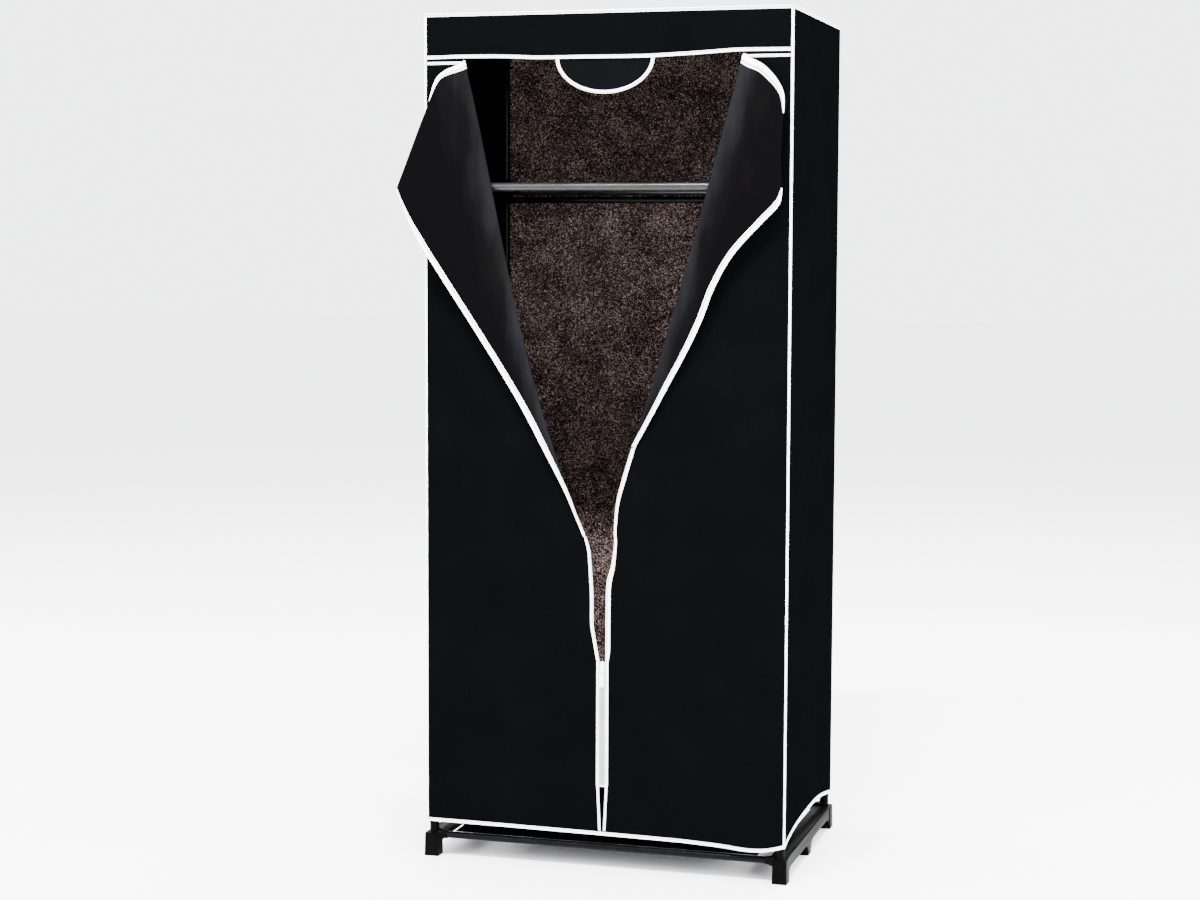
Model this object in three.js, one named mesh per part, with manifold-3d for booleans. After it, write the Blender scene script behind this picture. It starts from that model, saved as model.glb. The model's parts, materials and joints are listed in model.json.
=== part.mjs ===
// Portable fabric wardrobe: a knock-down frame of steel tube in plastic fittings, a sling shelf, a hanging
// rail and a cloth cover whose two doors meet at a zip and are folded back at the top.
// Millimetres, +Z up, the front faces -Y. The origin is under the middle of the whole part, on the floor.
import * as THREE from "three";
import { mergeVertices } from "three/addons/utils/BufferGeometryUtils.js";
import Module from "manifold-3d";

const wasm = await Module();
wasm.setup();

// Cover
const coverWidth = 700;
const coverDepth = 450;
const height = 1600;
const clothThickness = 1.2;
const bindingThickness = 1.2;
const fitGap = 0.3;
const hemHeight = 67;
const hemWidth = 11;
const sideHemRise = 22;
const sideHemPeakShare = 0.15;
const sideHemFrontShare = 0.75;
const sideHemBackShare = 0.5;
const valanceDepth = 84;
const valanceBindingWidth = 7.5;
const doorTopGap = 4;
const cornerBindingWidth = 4.5;
const cornerBindingLift = 3;
const topBindingWidth = 6;

// Tubes
const uprightRadius = 8;
const railRadius = 6.5;
const tubeWall = 0.8;
const jointHeight = 650;
const swageLength = 30;
const swageCone = 4;

// Frame levels
const bottomRailHeight = 41;
const shelfDrop = 321;
const hangingDrop = 20;

// Fittings
const fittingWall = 1.2;
const socketClearance = 0.3;
const rimWidth = 4;
const rimRaise = 0.5;
const sleeveReach = 26;
const socketReach = 25;
const capThickness = 3;
const stopThickness = 2;
const webThickness = 3;

// Side bases
const footWidth = 28;
const footDepth = 28;
const footHeight = 45;
const footDraft = 1;
const footOffset = 2;
const middleFootDepth = 24;
const flareLength = 24;
const beamWidth = 20;
const beamUnder = 24;
const beamTop = 45;
const beamOffset = 4;
const beamWall = 2.5;
const ribPitch = 36;
const ledgeWidth = 14;
const ledgeThickness = 3;
const collarHeight = 23;
const footFloor = 12;
const railSocketReach = 27;
const railSocketFlare = 4;

// Hanging rail brackets
const bracketLength = 18;
const bracketWebThickness = 8;
const cupReach = 26;

// Shelf and floor
const shelfCloth = 1.4;
const floorPanelThickness = 1.4;
const floorPanelInset = 42;

// Half-moon flap over the end of the zip
const moonHalfWidth = 94;
const moonDrop = 67;
const moonLap = 12;
const moonBindingWidth = 7;

// Zip, with its slider part of the way down
const zipStopHeight = 162;
const slitHalfGap = 3.5;
const closedHalfGap = 5.9;
const zipEdgeWidth = 10;
const sliderHeight = 371;
const sliderLength = 26;
const sliderHalfWidth = 4.8;
const sliderPlate = 1.2;
const chainHalfWidth = 2.6;
const chainRelief = 0.8;
const tapeThickness = 0.8;
const toothPitch = 5;
const toothDepth = 1.1;
const bridgeHalfWidth = 1.2;
const bridgeHeight = 5.2;
const bridgeBar = 1.2;
const bridgePost = 1.6;
const bridgeLength = 16;
const tabPinRadius = 0.8;
const tabArm = 1.5;
const tabArmLength = 7.5;
const tabLength = 22;
const tabHalfWidth = 4.5;
const tabThickness = 1.6;

// Flaps: where each door folds outwards
const leftFoldTopX = 273;
const rightFoldTopX = 263;
const foldTopInset = 8;
const flapStandOff = 34;
const flapBindingWidth = 10;
const flapFootWidth = 12;
const leftFoldFootHeight = 632;
const rightFoldFootHeight = 800;
const leftFoldFootX = 28;
const rightFoldFootX = 51;
const leftFoldBow = 26;
const rightFoldBow = 8;

const foldSteps = 12;
const foldBowPower = 1.6;
const topPullPower = 3;
const roundSides = 16;
const cutOverrun = 2;
const weldDistance = 1e-3;

// Materials
const blackSteel = new THREE.MeshStandardMaterial({ color: 0x101012, roughness: 0.32, metalness: 0.6 });
const blackPlastic = new THREE.MeshStandardMaterial({ color: 0x17171a, roughness: 0.55, metalness: 0 });
const blackCloth = new THREE.MeshStandardMaterial({ color: 0x0d0e10, roughness: 0.95, metalness: 0 });
const flapCloth = new THREE.MeshStandardMaterial({ color: 0x232428, roughness: 0.95, metalness: 0 });
const backCloth = new THREE.MeshStandardMaterial({ color: 0x2c2726, roughness: 1, metalness: 0 });
const shelfFabric = new THREE.MeshStandardMaterial({ color: 0x3a3b3f, roughness: 0.6, metalness: 0 });
const whiteBinding = new THREE.MeshStandardMaterial({ color: 0xf2f2f2, roughness: 0.85, metalness: 0 });
const whiteZip = new THREE.MeshStandardMaterial({ color: 0xe9e9ea, roughness: 0.4, metalness: 0 });

// Places worked out from the sizes above
const coverTop = height - bindingThickness - fitGap;
const fittingRadius = uprightRadius + socketClearance + fittingWall;
const socketRadius = railRadius + socketClearance + fittingWall;
const uprightX = coverWidth / 2 - clothThickness - fitGap - fittingRadius;
const uprightY = coverDepth / 2 - clothThickness - fitGap - fittingRadius;
const topRailHeight = coverTop - clothThickness - fitGap - fittingRadius;
const frontFace = -coverDepth / 2;
const frontInner = frontFace + clothThickness;
const trimFront = frontFace - fitGap;
const valanceFoot = coverTop - valanceDepth;
const doorTop = valanceFoot - doorTopGap;
const foldTopHeight = doorTop - foldTopInset;
const sliderTop = sliderHeight + sliderLength;
const shelfHeight = height - shelfDrop;
const hangingHeight = shelfHeight - hangingDrop;

// A closed mesh as a solid that can be cut and joined.
function solidOf(geometry) {
  const plain = geometry.index ? geometry.toNonIndexed() : geometry.clone();
  plain.deleteAttribute("normal");
  plain.deleteAttribute("uv");
  const merged = mergeVertices(plain, weldDistance);
  const mesh = new wasm.Mesh({
    numProp: 3,
    vertProperties: merged.attributes.position.array,
    triVerts: new Uint32Array(merged.index.array),
  });
  return new wasm.Manifold(mesh);
}

function join(...geometries) {
  return geometries.map(solidOf).reduce((whole, piece) => whole.add(piece));
}

function cut(whole, ...geometries) {
  return geometries.map(solidOf).reduce((rest, tool) => rest.subtract(tool), whole);
}

function geometryOf(solid) {
  const mesh = solid.getMesh();
  const geometry = new THREE.BufferGeometry();
  geometry.setAttribute("position", new THREE.BufferAttribute(mesh.vertProperties, 3));
  geometry.setIndex(new THREE.BufferAttribute(mesh.triVerts, 1));
  const faceted = geometry.toNonIndexed();
  faceted.computeVertexNormals();
  return faceted;
}

function box(xRange, yRange, zRange) {
  const size = [xRange, yRange, zRange].map(([low, high]) => high - low);
  const middle = [xRange, yRange, zRange].map(([low, high]) => (high + low) / 2);
  return new THREE.BoxGeometry(...size).translate(...middle);
}

// A round bar along +Z from one height to another, its radius changing from the first end to the second.
function taperedBar(fromRadius, toRadius, from, to) {
  return new THREE.CylinderGeometry(toRadius, fromRadius, to - from, roundSides)
    .rotateX(Math.PI / 2)
    .translate(0, 0, (from + to) / 2);
}

function bar(radius, from, to) {
  return taperedBar(radius, radius, from, to);
}

// The same bar turned from +Z to -X, or from +Z to -Y.
function towardsMinusX(geometry) {
  return geometry.rotateY(-Math.PI / 2);
}

function towardsMinusY(geometry) {
  return geometry.rotateX(Math.PI / 2);
}

// A closed profile of [radius, height] points turned round the Z axis.
function revolve(profile) {
  const points = [...profile, profile[0]].map(([radius, z]) => new THREE.Vector2(radius, z));
  return new THREE.LatheGeometry(points, roundSides).rotateX(Math.PI / 2);
}

function extrude(shape, depth) {
  return new THREE.ExtrudeGeometry(shape, { depth, bevelEnabled: false, curveSegments: 10 });
}

// A flat panel seen from the front: the shape's x and y are the part's x and z, its back lies at y = back.
function frontPanel(shape, back, thickness) {
  return extrude(shape, thickness).rotateX(Math.PI / 2).translate(0, back, 0);
}

// A panel seen from the side: the shape's x and y are the part's y and z, its lowest x is given.
function sidePanel(shape, lowX, thickness) {
  const turn = new THREE.Matrix4().makeBasis(
    new THREE.Vector3(0, 1, 0),
    new THREE.Vector3(0, 0, 1),
    new THREE.Vector3(1, 0, 0),
  );
  return extrude(shape, thickness).applyMatrix4(turn).translate(lowX, 0, 0);
}

function polygon(points) {
  return new THREE.Shape(points.map(([x, y]) => new THREE.Vector2(x, y)));
}

// A sheet of the given thickness about the surface pointAt(u, v), with u and v from 0 to 1.
function sheet(pointAt, columns, rows, thickness) {
  const step = 1e-3;
  const sides = [[], []];
  for (let row = 0; row <= rows; row++)
    for (let column = 0; column <= columns; column++) {
      const u = column / columns;
      const v = row / rows;
      const uNear = Math.min(Math.max(u, step), 1 - step);
      const vNear = Math.min(Math.max(v, step), 1 - step);
      const alongU = pointAt(uNear + step, v).sub(pointAt(uNear - step, v));
      const alongV = pointAt(u, vNear + step).sub(pointAt(u, vNear - step));
      const normal = alongU.cross(alongV).normalize().multiplyScalar(thickness / 2);
      sides[0].push(pointAt(u, v).add(normal));
      sides[1].push(pointAt(u, v).sub(normal));
    }
  const positions = [];
  const quad = (a, b, c, d) => [a, b, c, a, c, d].forEach((p) => positions.push(p.x, p.y, p.z));
  const at = (side, column, row) => sides[side][row * (columns + 1) + column];
  for (let row = 0; row < rows; row++)
    for (let column = 0; column < columns; column++) {
      quad(at(0, column, row), at(0, column + 1, row), at(0, column + 1, row + 1), at(0, column, row + 1));
      quad(at(1, column, row), at(1, column, row + 1), at(1, column + 1, row + 1), at(1, column + 1, row));
    }
  for (let column = 0; column < columns; column++) {
    quad(at(1, column, 0), at(1, column + 1, 0), at(0, column + 1, 0), at(0, column, 0));
    quad(at(0, column, rows), at(0, column + 1, rows), at(1, column + 1, rows), at(1, column, rows));
  }
  for (let row = 0; row < rows; row++) {
    quad(at(0, 0, row), at(0, 0, row + 1), at(1, 0, row + 1), at(1, 0, row));
    quad(at(1, columns, row), at(1, columns, row + 1), at(0, columns, row + 1), at(0, columns, row));
  }
  const geometry = new THREE.BufferGeometry();
  geometry.setAttribute("position", new THREE.Float32BufferAttribute(positions, 3));
  geometry.computeVertexNormals();
  return geometry;
}

const wardrobe = new THREE.Group();

// Adds a named mesh to a group, placed by its position and its turn about the vertical.
function place(group, name, geometry, material, position = [0, 0, 0], turn = 0) {
  const mesh = new THREE.Mesh(geometry, material);
  mesh.name = name;
  mesh.position.set(...position);
  mesh.rotation.z = turn;
  group.add(mesh);
  return mesh;
}

// The four corners, each with the turn that points a right back fitting's sockets inwards.
const corners = [
  { name: "back_right", x: 1, y: 1, turn: 0 },
  { name: "back_left", x: -1, y: 1, turn: Math.PI / 2 },
  { name: "front_left", x: -1, y: -1, turn: Math.PI },
  { name: "front_right", x: 1, y: -1, turn: -Math.PI / 2 },
];

// Frame tubes

function tube(radius, length) {
  const inner = radius - tubeWall;
  return revolve([[inner, 0], [radius, 0], [radius, length], [inner, length]]);
}

// A lower upright: its top end is drawn in to fit inside the tube above it.
function swagedTube(radius, length) {
  const inner = radius - tubeWall;
  const spigot = inner - socketClearance;
  const coneTop = length + swageCone;
  const end = coneTop + swageLength;
  return revolve([
    [inner, 0],
    [radius, 0],
    [radius, length],
    [spigot, coneTop],
    [spigot, end],
    [spigot - tubeWall, end],
    [spigot - tubeWall, coneTop],
    [inner, length],
  ]);
}

function addUprights(group) {
  const lowerFoot = footFloor + fitGap;
  const middleFoot = jointHeight + swageCone + fitGap;
  const middleTop = shelfHeight - stopThickness / 2 - fitGap;
  const upperFoot = shelfHeight + stopThickness / 2 + fitGap;
  const upperTop = topRailHeight + fittingRadius - capThickness - fitGap;
  const lower = swagedTube(uprightRadius, jointHeight - lowerFoot);
  const middle = tube(uprightRadius, middleTop - middleFoot);
  const upper = tube(uprightRadius, upperTop - upperFoot);
  for (const corner of corners) {
    const [x, y] = [corner.x * uprightX, corner.y * uprightY];
    place(group, "upright_lower_" + corner.name, lower, blackSteel, [x, y, lowerFoot]);
    place(group, "upright_middle_" + corner.name, middle, blackSteel, [x, y, middleFoot]);
    place(group, "upright_upper_" + corner.name, upper, blackSteel, [x, y, upperFoot]);
  }
}

// Rails run between the blind ends of their sockets, which stop just short of the uprights' bores.
const railEnd = uprightRadius + socketClearance + fittingWall + fitGap;

function addRails(group) {
  const acrossLength = 2 * (uprightX - railEnd);
  const deepLength = 2 * (uprightY - railEnd);
  const across = tube(railRadius, acrossLength).rotateY(Math.PI / 2).translate(-acrossLength / 2, 0, 0);
  const deep = tube(railRadius, deepLength).rotateX(-Math.PI / 2).translate(0, -deepLength / 2, 0);
  const levels = [["bottom_rail", bottomRailHeight], ["shelf_rail", shelfHeight], ["top_rail", topRailHeight]];
  for (const [name, z] of levels)
    for (const [side, y] of [["front", -1], ["back", 1]])
      place(group, name + "_" + side, across, blackSteel, [0, y * uprightY, z]);
  for (const [name, z] of [["shelf_side_rail", shelfHeight], ["top_side_rail", topRailHeight]])
    for (const [side, x] of [["left", -1], ["right", 1]])
      place(group, name + "_" + side, deep, blackSteel, [x * uprightX, 0, z]);
}

// Fittings

// A sleeve or socket with a raised rim at its open end.
function rimmedBar(radius, from, to) {
  const body = bar(radius - rimRaise, from, to);
  const rim = bar(radius, to - rimWidth, to);
  return [body, rim];
}

// A web between the sleeve and the socket that points to -X, seen from the side.
function socketWeb(height) {
  const shape = polygon([
    [0, 0],
    [-socketReach + rimWidth, 0],
    [-fittingRadius / 2, -height],
    [0, -height],
  ]);
  return frontPanel(shape, webThickness / 2, webThickness);
}

// The part of a fitting that both kinds share: two rail sockets, towards -X and -Y, with webs below them.
function socketPair() {
  const web = socketWeb(sleeveReach - rimWidth);
  return [
    ...rimmedBar(socketRadius, 0, socketReach).map(towardsMinusX),
    ...rimmedBar(socketRadius, 0, socketReach).map(towardsMinusY),
    web,
    web.clone().rotateZ(Math.PI / 2),
  ];
}

function socketBores() {
  const bore = () => bar(railRadius + socketClearance, railEnd - fitGap, socketReach + cutOverrun);
  return [towardsMinusX(bore()), towardsMinusY(bore())];
}

function shelfFitting() {
  const body = join(
    ...rimmedBar(fittingRadius, 0, sleeveReach),
    ...rimmedBar(fittingRadius, 0, sleeveReach).map((piece) => piece.rotateX(Math.PI)),
    ...socketPair(),
  );
  const boreRadius = uprightRadius + socketClearance;
  return geometryOf(
    cut(
      body,
      bar(boreRadius, stopThickness / 2, sleeveReach + cutOverrun),
      bar(boreRadius, -sleeveReach - cutOverrun, -stopThickness / 2),
      bar(uprightRadius - tubeWall, -stopThickness, stopThickness),
      ...socketBores(),
    ),
  );
}

function topFitting() {
  const body = join(
    ...rimmedBar(fittingRadius, 0, sleeveReach).map((piece) => piece.rotateX(Math.PI)),
    bar(fittingRadius - rimRaise, -fittingRadius, fittingRadius - rimRaise),
    taperedBar(fittingRadius - rimRaise, fittingRadius - capThickness, fittingRadius - rimRaise, fittingRadius),
    ...socketPair(),
  );
  const boreRadius = uprightRadius + socketClearance;
  const boreTop = fittingRadius - capThickness;
  return geometryOf(cut(body, bar(boreRadius, -sleeveReach - cutOverrun, boreTop), ...socketBores()));
}

function addFittings(group) {
  const shelf = shelfFitting();
  const top = topFitting();
  for (const corner of corners) {
    const [x, y] = [corner.x * uprightX, corner.y * uprightY];
    place(group, "shelf_fitting_" + corner.name, shelf, blackPlastic, [x, y, shelfHeight], corner.turn);
    place(group, "top_fitting_" + corner.name, top, blackPlastic, [x, y, topRailHeight], corner.turn);
  }
}

// Side bases

// The right base's outline from the side: three feet joined by a beam, with a flare at each foot.
function baseOutline() {
  const end = uprightY + footDepth / 2;
  const footInner = end - footDepth;
  const middle = middleFootDepth / 2;
  const shoulder = beamUnder - beamWall;
  const shape = new THREE.Shape();
  shape.moveTo(-end, 0);
  shape.lineTo(-footInner, 0);
  shape.quadraticCurveTo(-footInner + beamWall, shoulder, -footInner + flareLength, beamUnder);
  shape.lineTo(-middle - flareLength, beamUnder);
  shape.quadraticCurveTo(-middle - beamWall, shoulder, -middle, 0);
  shape.lineTo(middle, 0);
  shape.quadraticCurveTo(middle + beamWall, shoulder, middle + flareLength, beamUnder);
  shape.lineTo(footInner - flareLength, beamUnder);
  shape.quadraticCurveTo(footInner - beamWall, shoulder, footInner, 0);
  shape.lineTo(end, 0);
  shape.lineTo(end, beamTop);
  shape.lineTo(-end, beamTop);
  return shape;
}

// A foot block with its sides drawn in towards the top.
function footBlock() {
  const corner = Math.SQRT2 / 2;
  return new THREE.CylinderGeometry((footWidth - 2 * footDraft) * corner, footWidth * corner, footHeight, 4)
    .rotateX(Math.PI / 2)
    .rotateZ(Math.PI / 4)
    .scale(1, footDepth / footWidth, 1)
    .translate(footOffset, 0, footHeight / 2);
}

// The ribbed hollow under the beam: one pocket between each two ribs, left and right of the middle foot.
function beamPockets() {
  const from = middleFootDepth / 2 + flareLength;
  const to = uprightY - footDepth / 2 - flareLength;
  const count = Math.floor((to - from) / ribPitch);
  const pitch = (to - from) / count;
  const xRange = [beamOffset - beamWidth / 2 + beamWall, beamOffset + beamWidth / 2 - beamWall];
  const zRange = [beamUnder - cutOverrun, beamTop - beamWall];
  const pockets = [];
  for (const side of [-1, 1])
    for (let index = 0; index < count; index++) {
      const near = side * (from + index * pitch + beamWall / 2);
      const far = side * (from + (index + 1) * pitch - beamWall / 2);
      pockets.push(box(xRange, [Math.min(near, far), Math.max(near, far)], zRange));
    }
  return pockets;
}

function sideBase() {
  const blocks = [];
  const cuts = beamPockets();
  const collarTop = footHeight + collarHeight;
  const blockFace = footWidth / 2 - footOffset;
  for (const y of [-uprightY, uprightY]) {
    const at = (geometry) => geometry.translate(0, y, 0);
    const socketAt = (geometry) => towardsMinusX(geometry).translate(0, y, bottomRailHeight);
    const flareRadius = socketRadius + railSocketFlare;
    blocks.push(
      at(footBlock()),
      ...rimmedBar(fittingRadius, footHeight - cutOverrun, collarTop).map(at),
      ...rimmedBar(socketRadius, 0, railSocketReach).map(socketAt),
      socketAt(taperedBar(flareRadius, socketRadius - rimRaise, blockFace - cutOverrun, railSocketReach - rimWidth)),
    );
    cuts.push(
      at(bar(uprightRadius + socketClearance, footFloor, collarTop + cutOverrun)),
      socketAt(bar(railRadius + socketClearance, railEnd - fitGap, railSocketReach + cutOverrun)),
    );
  }
  const beamInner = beamOffset - beamWidth / 2;
  const ledgeEnd = uprightY - footDepth / 2;
  const beam = sidePanel(baseOutline(), beamInner, beamWidth);
  const ledge = box([beamInner - ledgeWidth, beamOffset], [-ledgeEnd, ledgeEnd], [beamTop - ledgeThickness, beamTop]);
  return geometryOf(cut(join(beam, ledge, ...blocks), ...cuts));
}

function addBases(group) {
  const base = sideBase();
  place(group, "side_base_right", base, blackPlastic, [uprightX, 0, 0]);
  place(group, "side_base_left", base, blackPlastic, [-uprightX, 0, 0], Math.PI);
}

// Hanging rail, in two brackets clipped on the shelf's side rails

const cupFloor = capThickness;
const cupBack = uprightX + socketRadius - rimRaise;

function hangingBracket() {
  const ring = bar(socketRadius, -bracketLength / 2, bracketLength / 2).rotateX(Math.PI / 2);
  const cup = towardsMinusX(bar(socketRadius, -socketRadius + rimRaise, cupReach)).translate(0, 0, -hangingDrop);
  const web = box(
    [-socketRadius, socketRadius / 2],
    [-bracketWebThickness / 2, bracketWebThickness / 2],
    [-hangingDrop, 0],
  );
  const railBore = bar(railRadius + socketClearance, -bracketLength, bracketLength).rotateX(Math.PI / 2);
  const cupBore = bar(railRadius + socketClearance, cupFloor - socketRadius + rimRaise, cupReach + cutOverrun);
  return geometryOf(cut(join(ring, cup, web), railBore, towardsMinusX(cupBore).translate(0, 0, -hangingDrop)));
}

function addHangingRail(group) {
  const bracket = hangingBracket();
  const halfLength = cupBack - cupFloor - fitGap;
  const rail = tube(railRadius, 2 * halfLength).rotateY(Math.PI / 2).translate(-halfLength, 0, 0);
  place(group, "hanging_bracket_right", bracket, blackPlastic, [uprightX, 0, shelfHeight]);
  place(group, "hanging_bracket_left", bracket, blackPlastic, [-uprightX, 0, shelfHeight], Math.PI);
  place(group, "hanging_rail", rail, blackSteel, [0, 0, hangingHeight]);
}

// Shelf cloth: a sheet with a sleeve round the front and the back shelf rail

function shelfSling() {
  const inner = railRadius + fitGap;
  const outer = inner + shelfCloth;
  const reach = Math.sqrt(outer ** 2 - inner ** 2);
  const angle = Math.atan2(inner, reach);
  const shape = new THREE.Shape();
  shape.moveTo(-uprightY, outer);
  shape.absarc(-uprightY, 0, outer, Math.PI / 2, 2 * Math.PI + angle, false);
  shape.lineTo(uprightY - reach, inner);
  shape.absarc(uprightY, 0, outer, Math.PI - angle, 2 * Math.PI + Math.PI / 2, false);
  for (const y of [-uprightY, uprightY]) {
    const sleeve = new THREE.Path();
    sleeve.absarc(y, 0, inner, 0, 2 * Math.PI, true);
    shape.holes.push(sleeve);
  }
  const halfLength = uprightX - socketReach - fitGap;
  return sidePanel(shape, -halfLength, 2 * halfLength);
}

function addShelfAndFloor(group) {
  const halfWidth = uprightX - floorPanelInset;
  const halfDepth = uprightY;
  const floorZ = bottomRailHeight + railRadius + fitGap;
  const floor = box([-halfWidth, halfWidth], [-halfDepth, halfDepth], [floorZ, floorZ + floorPanelThickness]);
  place(group, "shelf_cloth", shelfSling(), shelfFabric, [0, 0, shelfHeight]);
  place(group, "floor_panel", floor, blackCloth);
}

// Cover panels

// The lower edge of a side panel rises in an arch, fast from the front and highest near the middle.
function sideHemShape(halfDepth, topOf) {
  const shape = new THREE.Shape();
  const peak = sideHemPeakShare * halfDepth;
  shape.moveTo(-halfDepth, hemHeight);
  const rise = hemHeight + sideHemRise;
  shape.quadraticCurveTo(-halfDepth * sideHemFrontShare, rise, peak, rise);
  shape.quadraticCurveTo(halfDepth * sideHemBackShare, rise, halfDepth, hemHeight);
  topOf(shape, halfDepth, peak);
  return shape;
}

function addCoverPanels(group) {
  const halfWidth = coverWidth / 2;
  const panelTop = coverTop - clothThickness - fitGap;
  const sideHalfDepth = coverDepth / 2 - clothThickness - fitGap;
  const top = box([-halfWidth, halfWidth], [frontFace, -frontFace], [coverTop - clothThickness, coverTop]);
  const back = box([-halfWidth, halfWidth], [-frontInner, -frontFace], [hemHeight, panelTop]);
  const valance = box([-halfWidth, halfWidth], [frontFace, frontInner], [valanceFoot, panelTop]);
  const side = sideHemShape(sideHalfDepth, (shape, half) => {
    shape.lineTo(half, panelTop);
    shape.lineTo(-half, panelTop);
  });
  place(group, "cover_top", top, blackCloth);
  place(group, "cover_back", back, backCloth);
  place(group, "cover_valance", valance, blackCloth);
  place(group, "cover_right_side", sidePanel(side, halfWidth - clothThickness, clothThickness), blackCloth);
  place(group, "cover_left_side", sidePanel(side, -halfWidth, clothThickness), blackCloth);
}

// Doors. Each list gives the zip edge from the slider up to the fold's foot, as shares of that height and
// of the distance that the edge moves away from its place at the slider.
const leftEdgeShares = [
  [0, 0],
  [0.18, 0.34],
  [0.3, 0.54],
  [0.53, 0.57],
  [0.76, 0.72],
  [0.89, 0.86],
  [1, 1],
];
const rightEdgeShares = [
  [0, 0],
  [0.25, 0.01],
  [0.37, 0.04],
  [0.45, 0.23],
  [0.55, 0.36],
  [0.62, 0.35],
  [0.74, 0.44],
  [0.85, 0.7],
  [1, 1],
];

// Each flap's free edge from its corner down to the fold's foot: shares of half the cover's width, of the
// fold's height and of the stand-off. The last point is worked out from the fold's foot.
const leftFlapShares = [
  [1.131, 0.737, 1],
  [1.033, 0.645, 0.93],
  [0.889, 0.553, 0.82],
  [0.737, 0.461, 0.72],
  [0.586, 0.368, 0.63],
  [0.445, 0.276, 0.53],
  [0.322, 0.184, 0.42],
  [0.203, 0.092, 0.28],
];
const rightFlapShares = [
  [0.971, 0.675, 1],
  [0.957, 0.636, 0.97],
  [0.871, 0.59, 0.92],
  [0.714, 0.506, 0.82],
  [0.614, 0.422, 0.72],
  [0.546, 0.337, 0.62],
  [0.463, 0.253, 0.51],
  [0.368, 0.169, 0.4],
  [0.274, 0.084, 0.28],
];
// Each flap's top edge from the fold to the corner, without its ends, in the same shares.
const leftTopShares = [[0.907, 0.978, 0.47], [0.96, 0.913, 0.75], [1.015, 0.856, 0.87], [1.071, 0.797, 0.96]];
const rightTopShares = [[0.868, 0.983, 0.42], [0.963, 0.92, 0.69], [0.968, 0.843, 0.88], [0.962, 0.76, 0.97]];
const flapFootShare = 0.1;
const flapBindingMostShare = 0.995;

const doors = [
  {
    name: "left",
    sign: -1,
    foldTopX: leftFoldTopX,
    foot: [leftFoldFootX, leftFoldFootHeight],
    foldBow: leftFoldBow,
    edgeShares: leftEdgeShares,
    flapShares: leftFlapShares,
    topShares: leftTopShares,
  },
  {
    name: "right",
    sign: 1,
    foldTopX: rightFoldTopX,
    foot: [rightFoldFootX, rightFoldFootHeight],
    foldBow: rightFoldBow,
    edgeShares: rightEdgeShares,
    flapShares: rightFlapShares,
    topShares: rightTopShares,
  },
];

// The zip edge of a door from the hem to the fold's foot, as distances from the middle and heights.
function zipEdgePoints(door, offset) {
  const [footX, footHeight] = door.foot;
  const lower = [
    [slitHalfGap + offset, hemHeight],
    [slitHalfGap + offset, zipStopHeight - zipEdgeWidth],
    [closedHalfGap + offset, zipStopHeight],
  ];
  const curve = new THREE.SplineCurve(
    door.edgeShares.map(
      ([up, out]) =>
        new THREE.Vector2(
          closedHalfGap + offset + out * (footX - closedHalfGap),
          sliderTop + up * (footHeight - sliderTop),
        ),
    ),
  );
  const upper = curve.getPoints(2 * (door.edgeShares.length - 1)).map((p) => [p.x, p.y]);
  return [...lower, ...upper];
}

// The fold of a door, bowed a little away from the opening: 0 is its top and 1 its foot.
function foldPoint(door, share) {
  const [footX, footHeight] = door.foot;
  const place = share ** foldBowPower;
  const bow = 4 * door.foldBow * place * (1 - place);
  return [
    door.foldTopX + share * (footX - door.foldTopX) + bow,
    foldTopHeight + share * (footHeight - foldTopHeight),
  ];
}

function addDoors(group) {
  const halfWidth = coverWidth / 2;
  const strip = [frontFace - fitGap, bindingThickness];
  for (const door of doors) {
    const edge = zipEdgePoints(door, clothThickness);
    const fold = Array.from({ length: foldSteps }, (_, index) => foldPoint(door, 1 - (index + 1) / foldSteps));
    const outline = [
      ...edge,
      ...fold.map(([x, z]) => [x + clothThickness, z]),
      [door.foldTopX + clothThickness, doorTop],
      [halfWidth, doorTop],
      [halfWidth, hemHeight],
    ].map(([x, z]) => [door.sign * x, z]);
    const panel = frontPanel(polygon(outline), frontInner, clothThickness);
    place(group, "door_" + door.name, panel, blackCloth);
    const inner = zipEdgePoints(door, 0);
    const outer = zipEdgePoints(door, zipEdgeWidth).reverse();
    const band = [...inner, ...outer]
      .map(([x, z]) => [x, Math.min(Math.max(z, hemHeight + hemWidth + fitGap), door.foot[1] - fitGap)])
      .map(([x, z]) => [door.sign * x, z]);
    place(group, "zip_edge_" + door.name, frontPanel(polygon(band), ...strip), whiteBinding);
  }
}

// Flaps

// The flap's surface: u runs from the fold to the free edge, v from the top edge down to the fold's foot.
function flapSurface(door) {
  const halfWidth = coverWidth / 2;
  const [footX, footHeight] = door.foot;
  const rise = foldTopHeight - footHeight;
  const rootForward = fitGap + clothThickness;
  const at = (x, z, forward) => new THREE.Vector3(door.sign * x, frontFace - forward, z);
  const fromShares = ([x, z, forward]) => at(x * halfWidth, footHeight + z * rise, forward * flapStandOff);
  const foldTop = at(door.foldTopX, foldTopHeight, rootForward);
  const edgeFoot = at(footX + flapFootWidth, footHeight, rootForward + flapFootShare * flapStandOff);
  const freeEdge = new THREE.CatmullRomCurve3([...door.flapShares.map(fromShares), edgeFoot]);
  const topEdge = new THREE.CatmullRomCurve3([foldTop, ...door.topShares.map(fromShares), freeEdge.getPoint(0)]);
  const plain = (u, v) => {
    const fold = at(...foldPoint(door, v), rootForward);
    const free = freeEdge.getPoint(v);
    const middle = fold.clone().add(free).divideScalar(2).setY(free.y);
    return fold
      .multiplyScalar((1 - u) ** 2)
      .addScaledVector(middle, 2 * u * (1 - u))
      .addScaledVector(free, u ** 2);
  };
  return (u, v) => {
    const pull = topEdge.getPoint(u).sub(plain(u, 0));
    return plain(u, v).addScaledVector(pull, (1 - v) ** topPullPower);
  };
}

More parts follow.
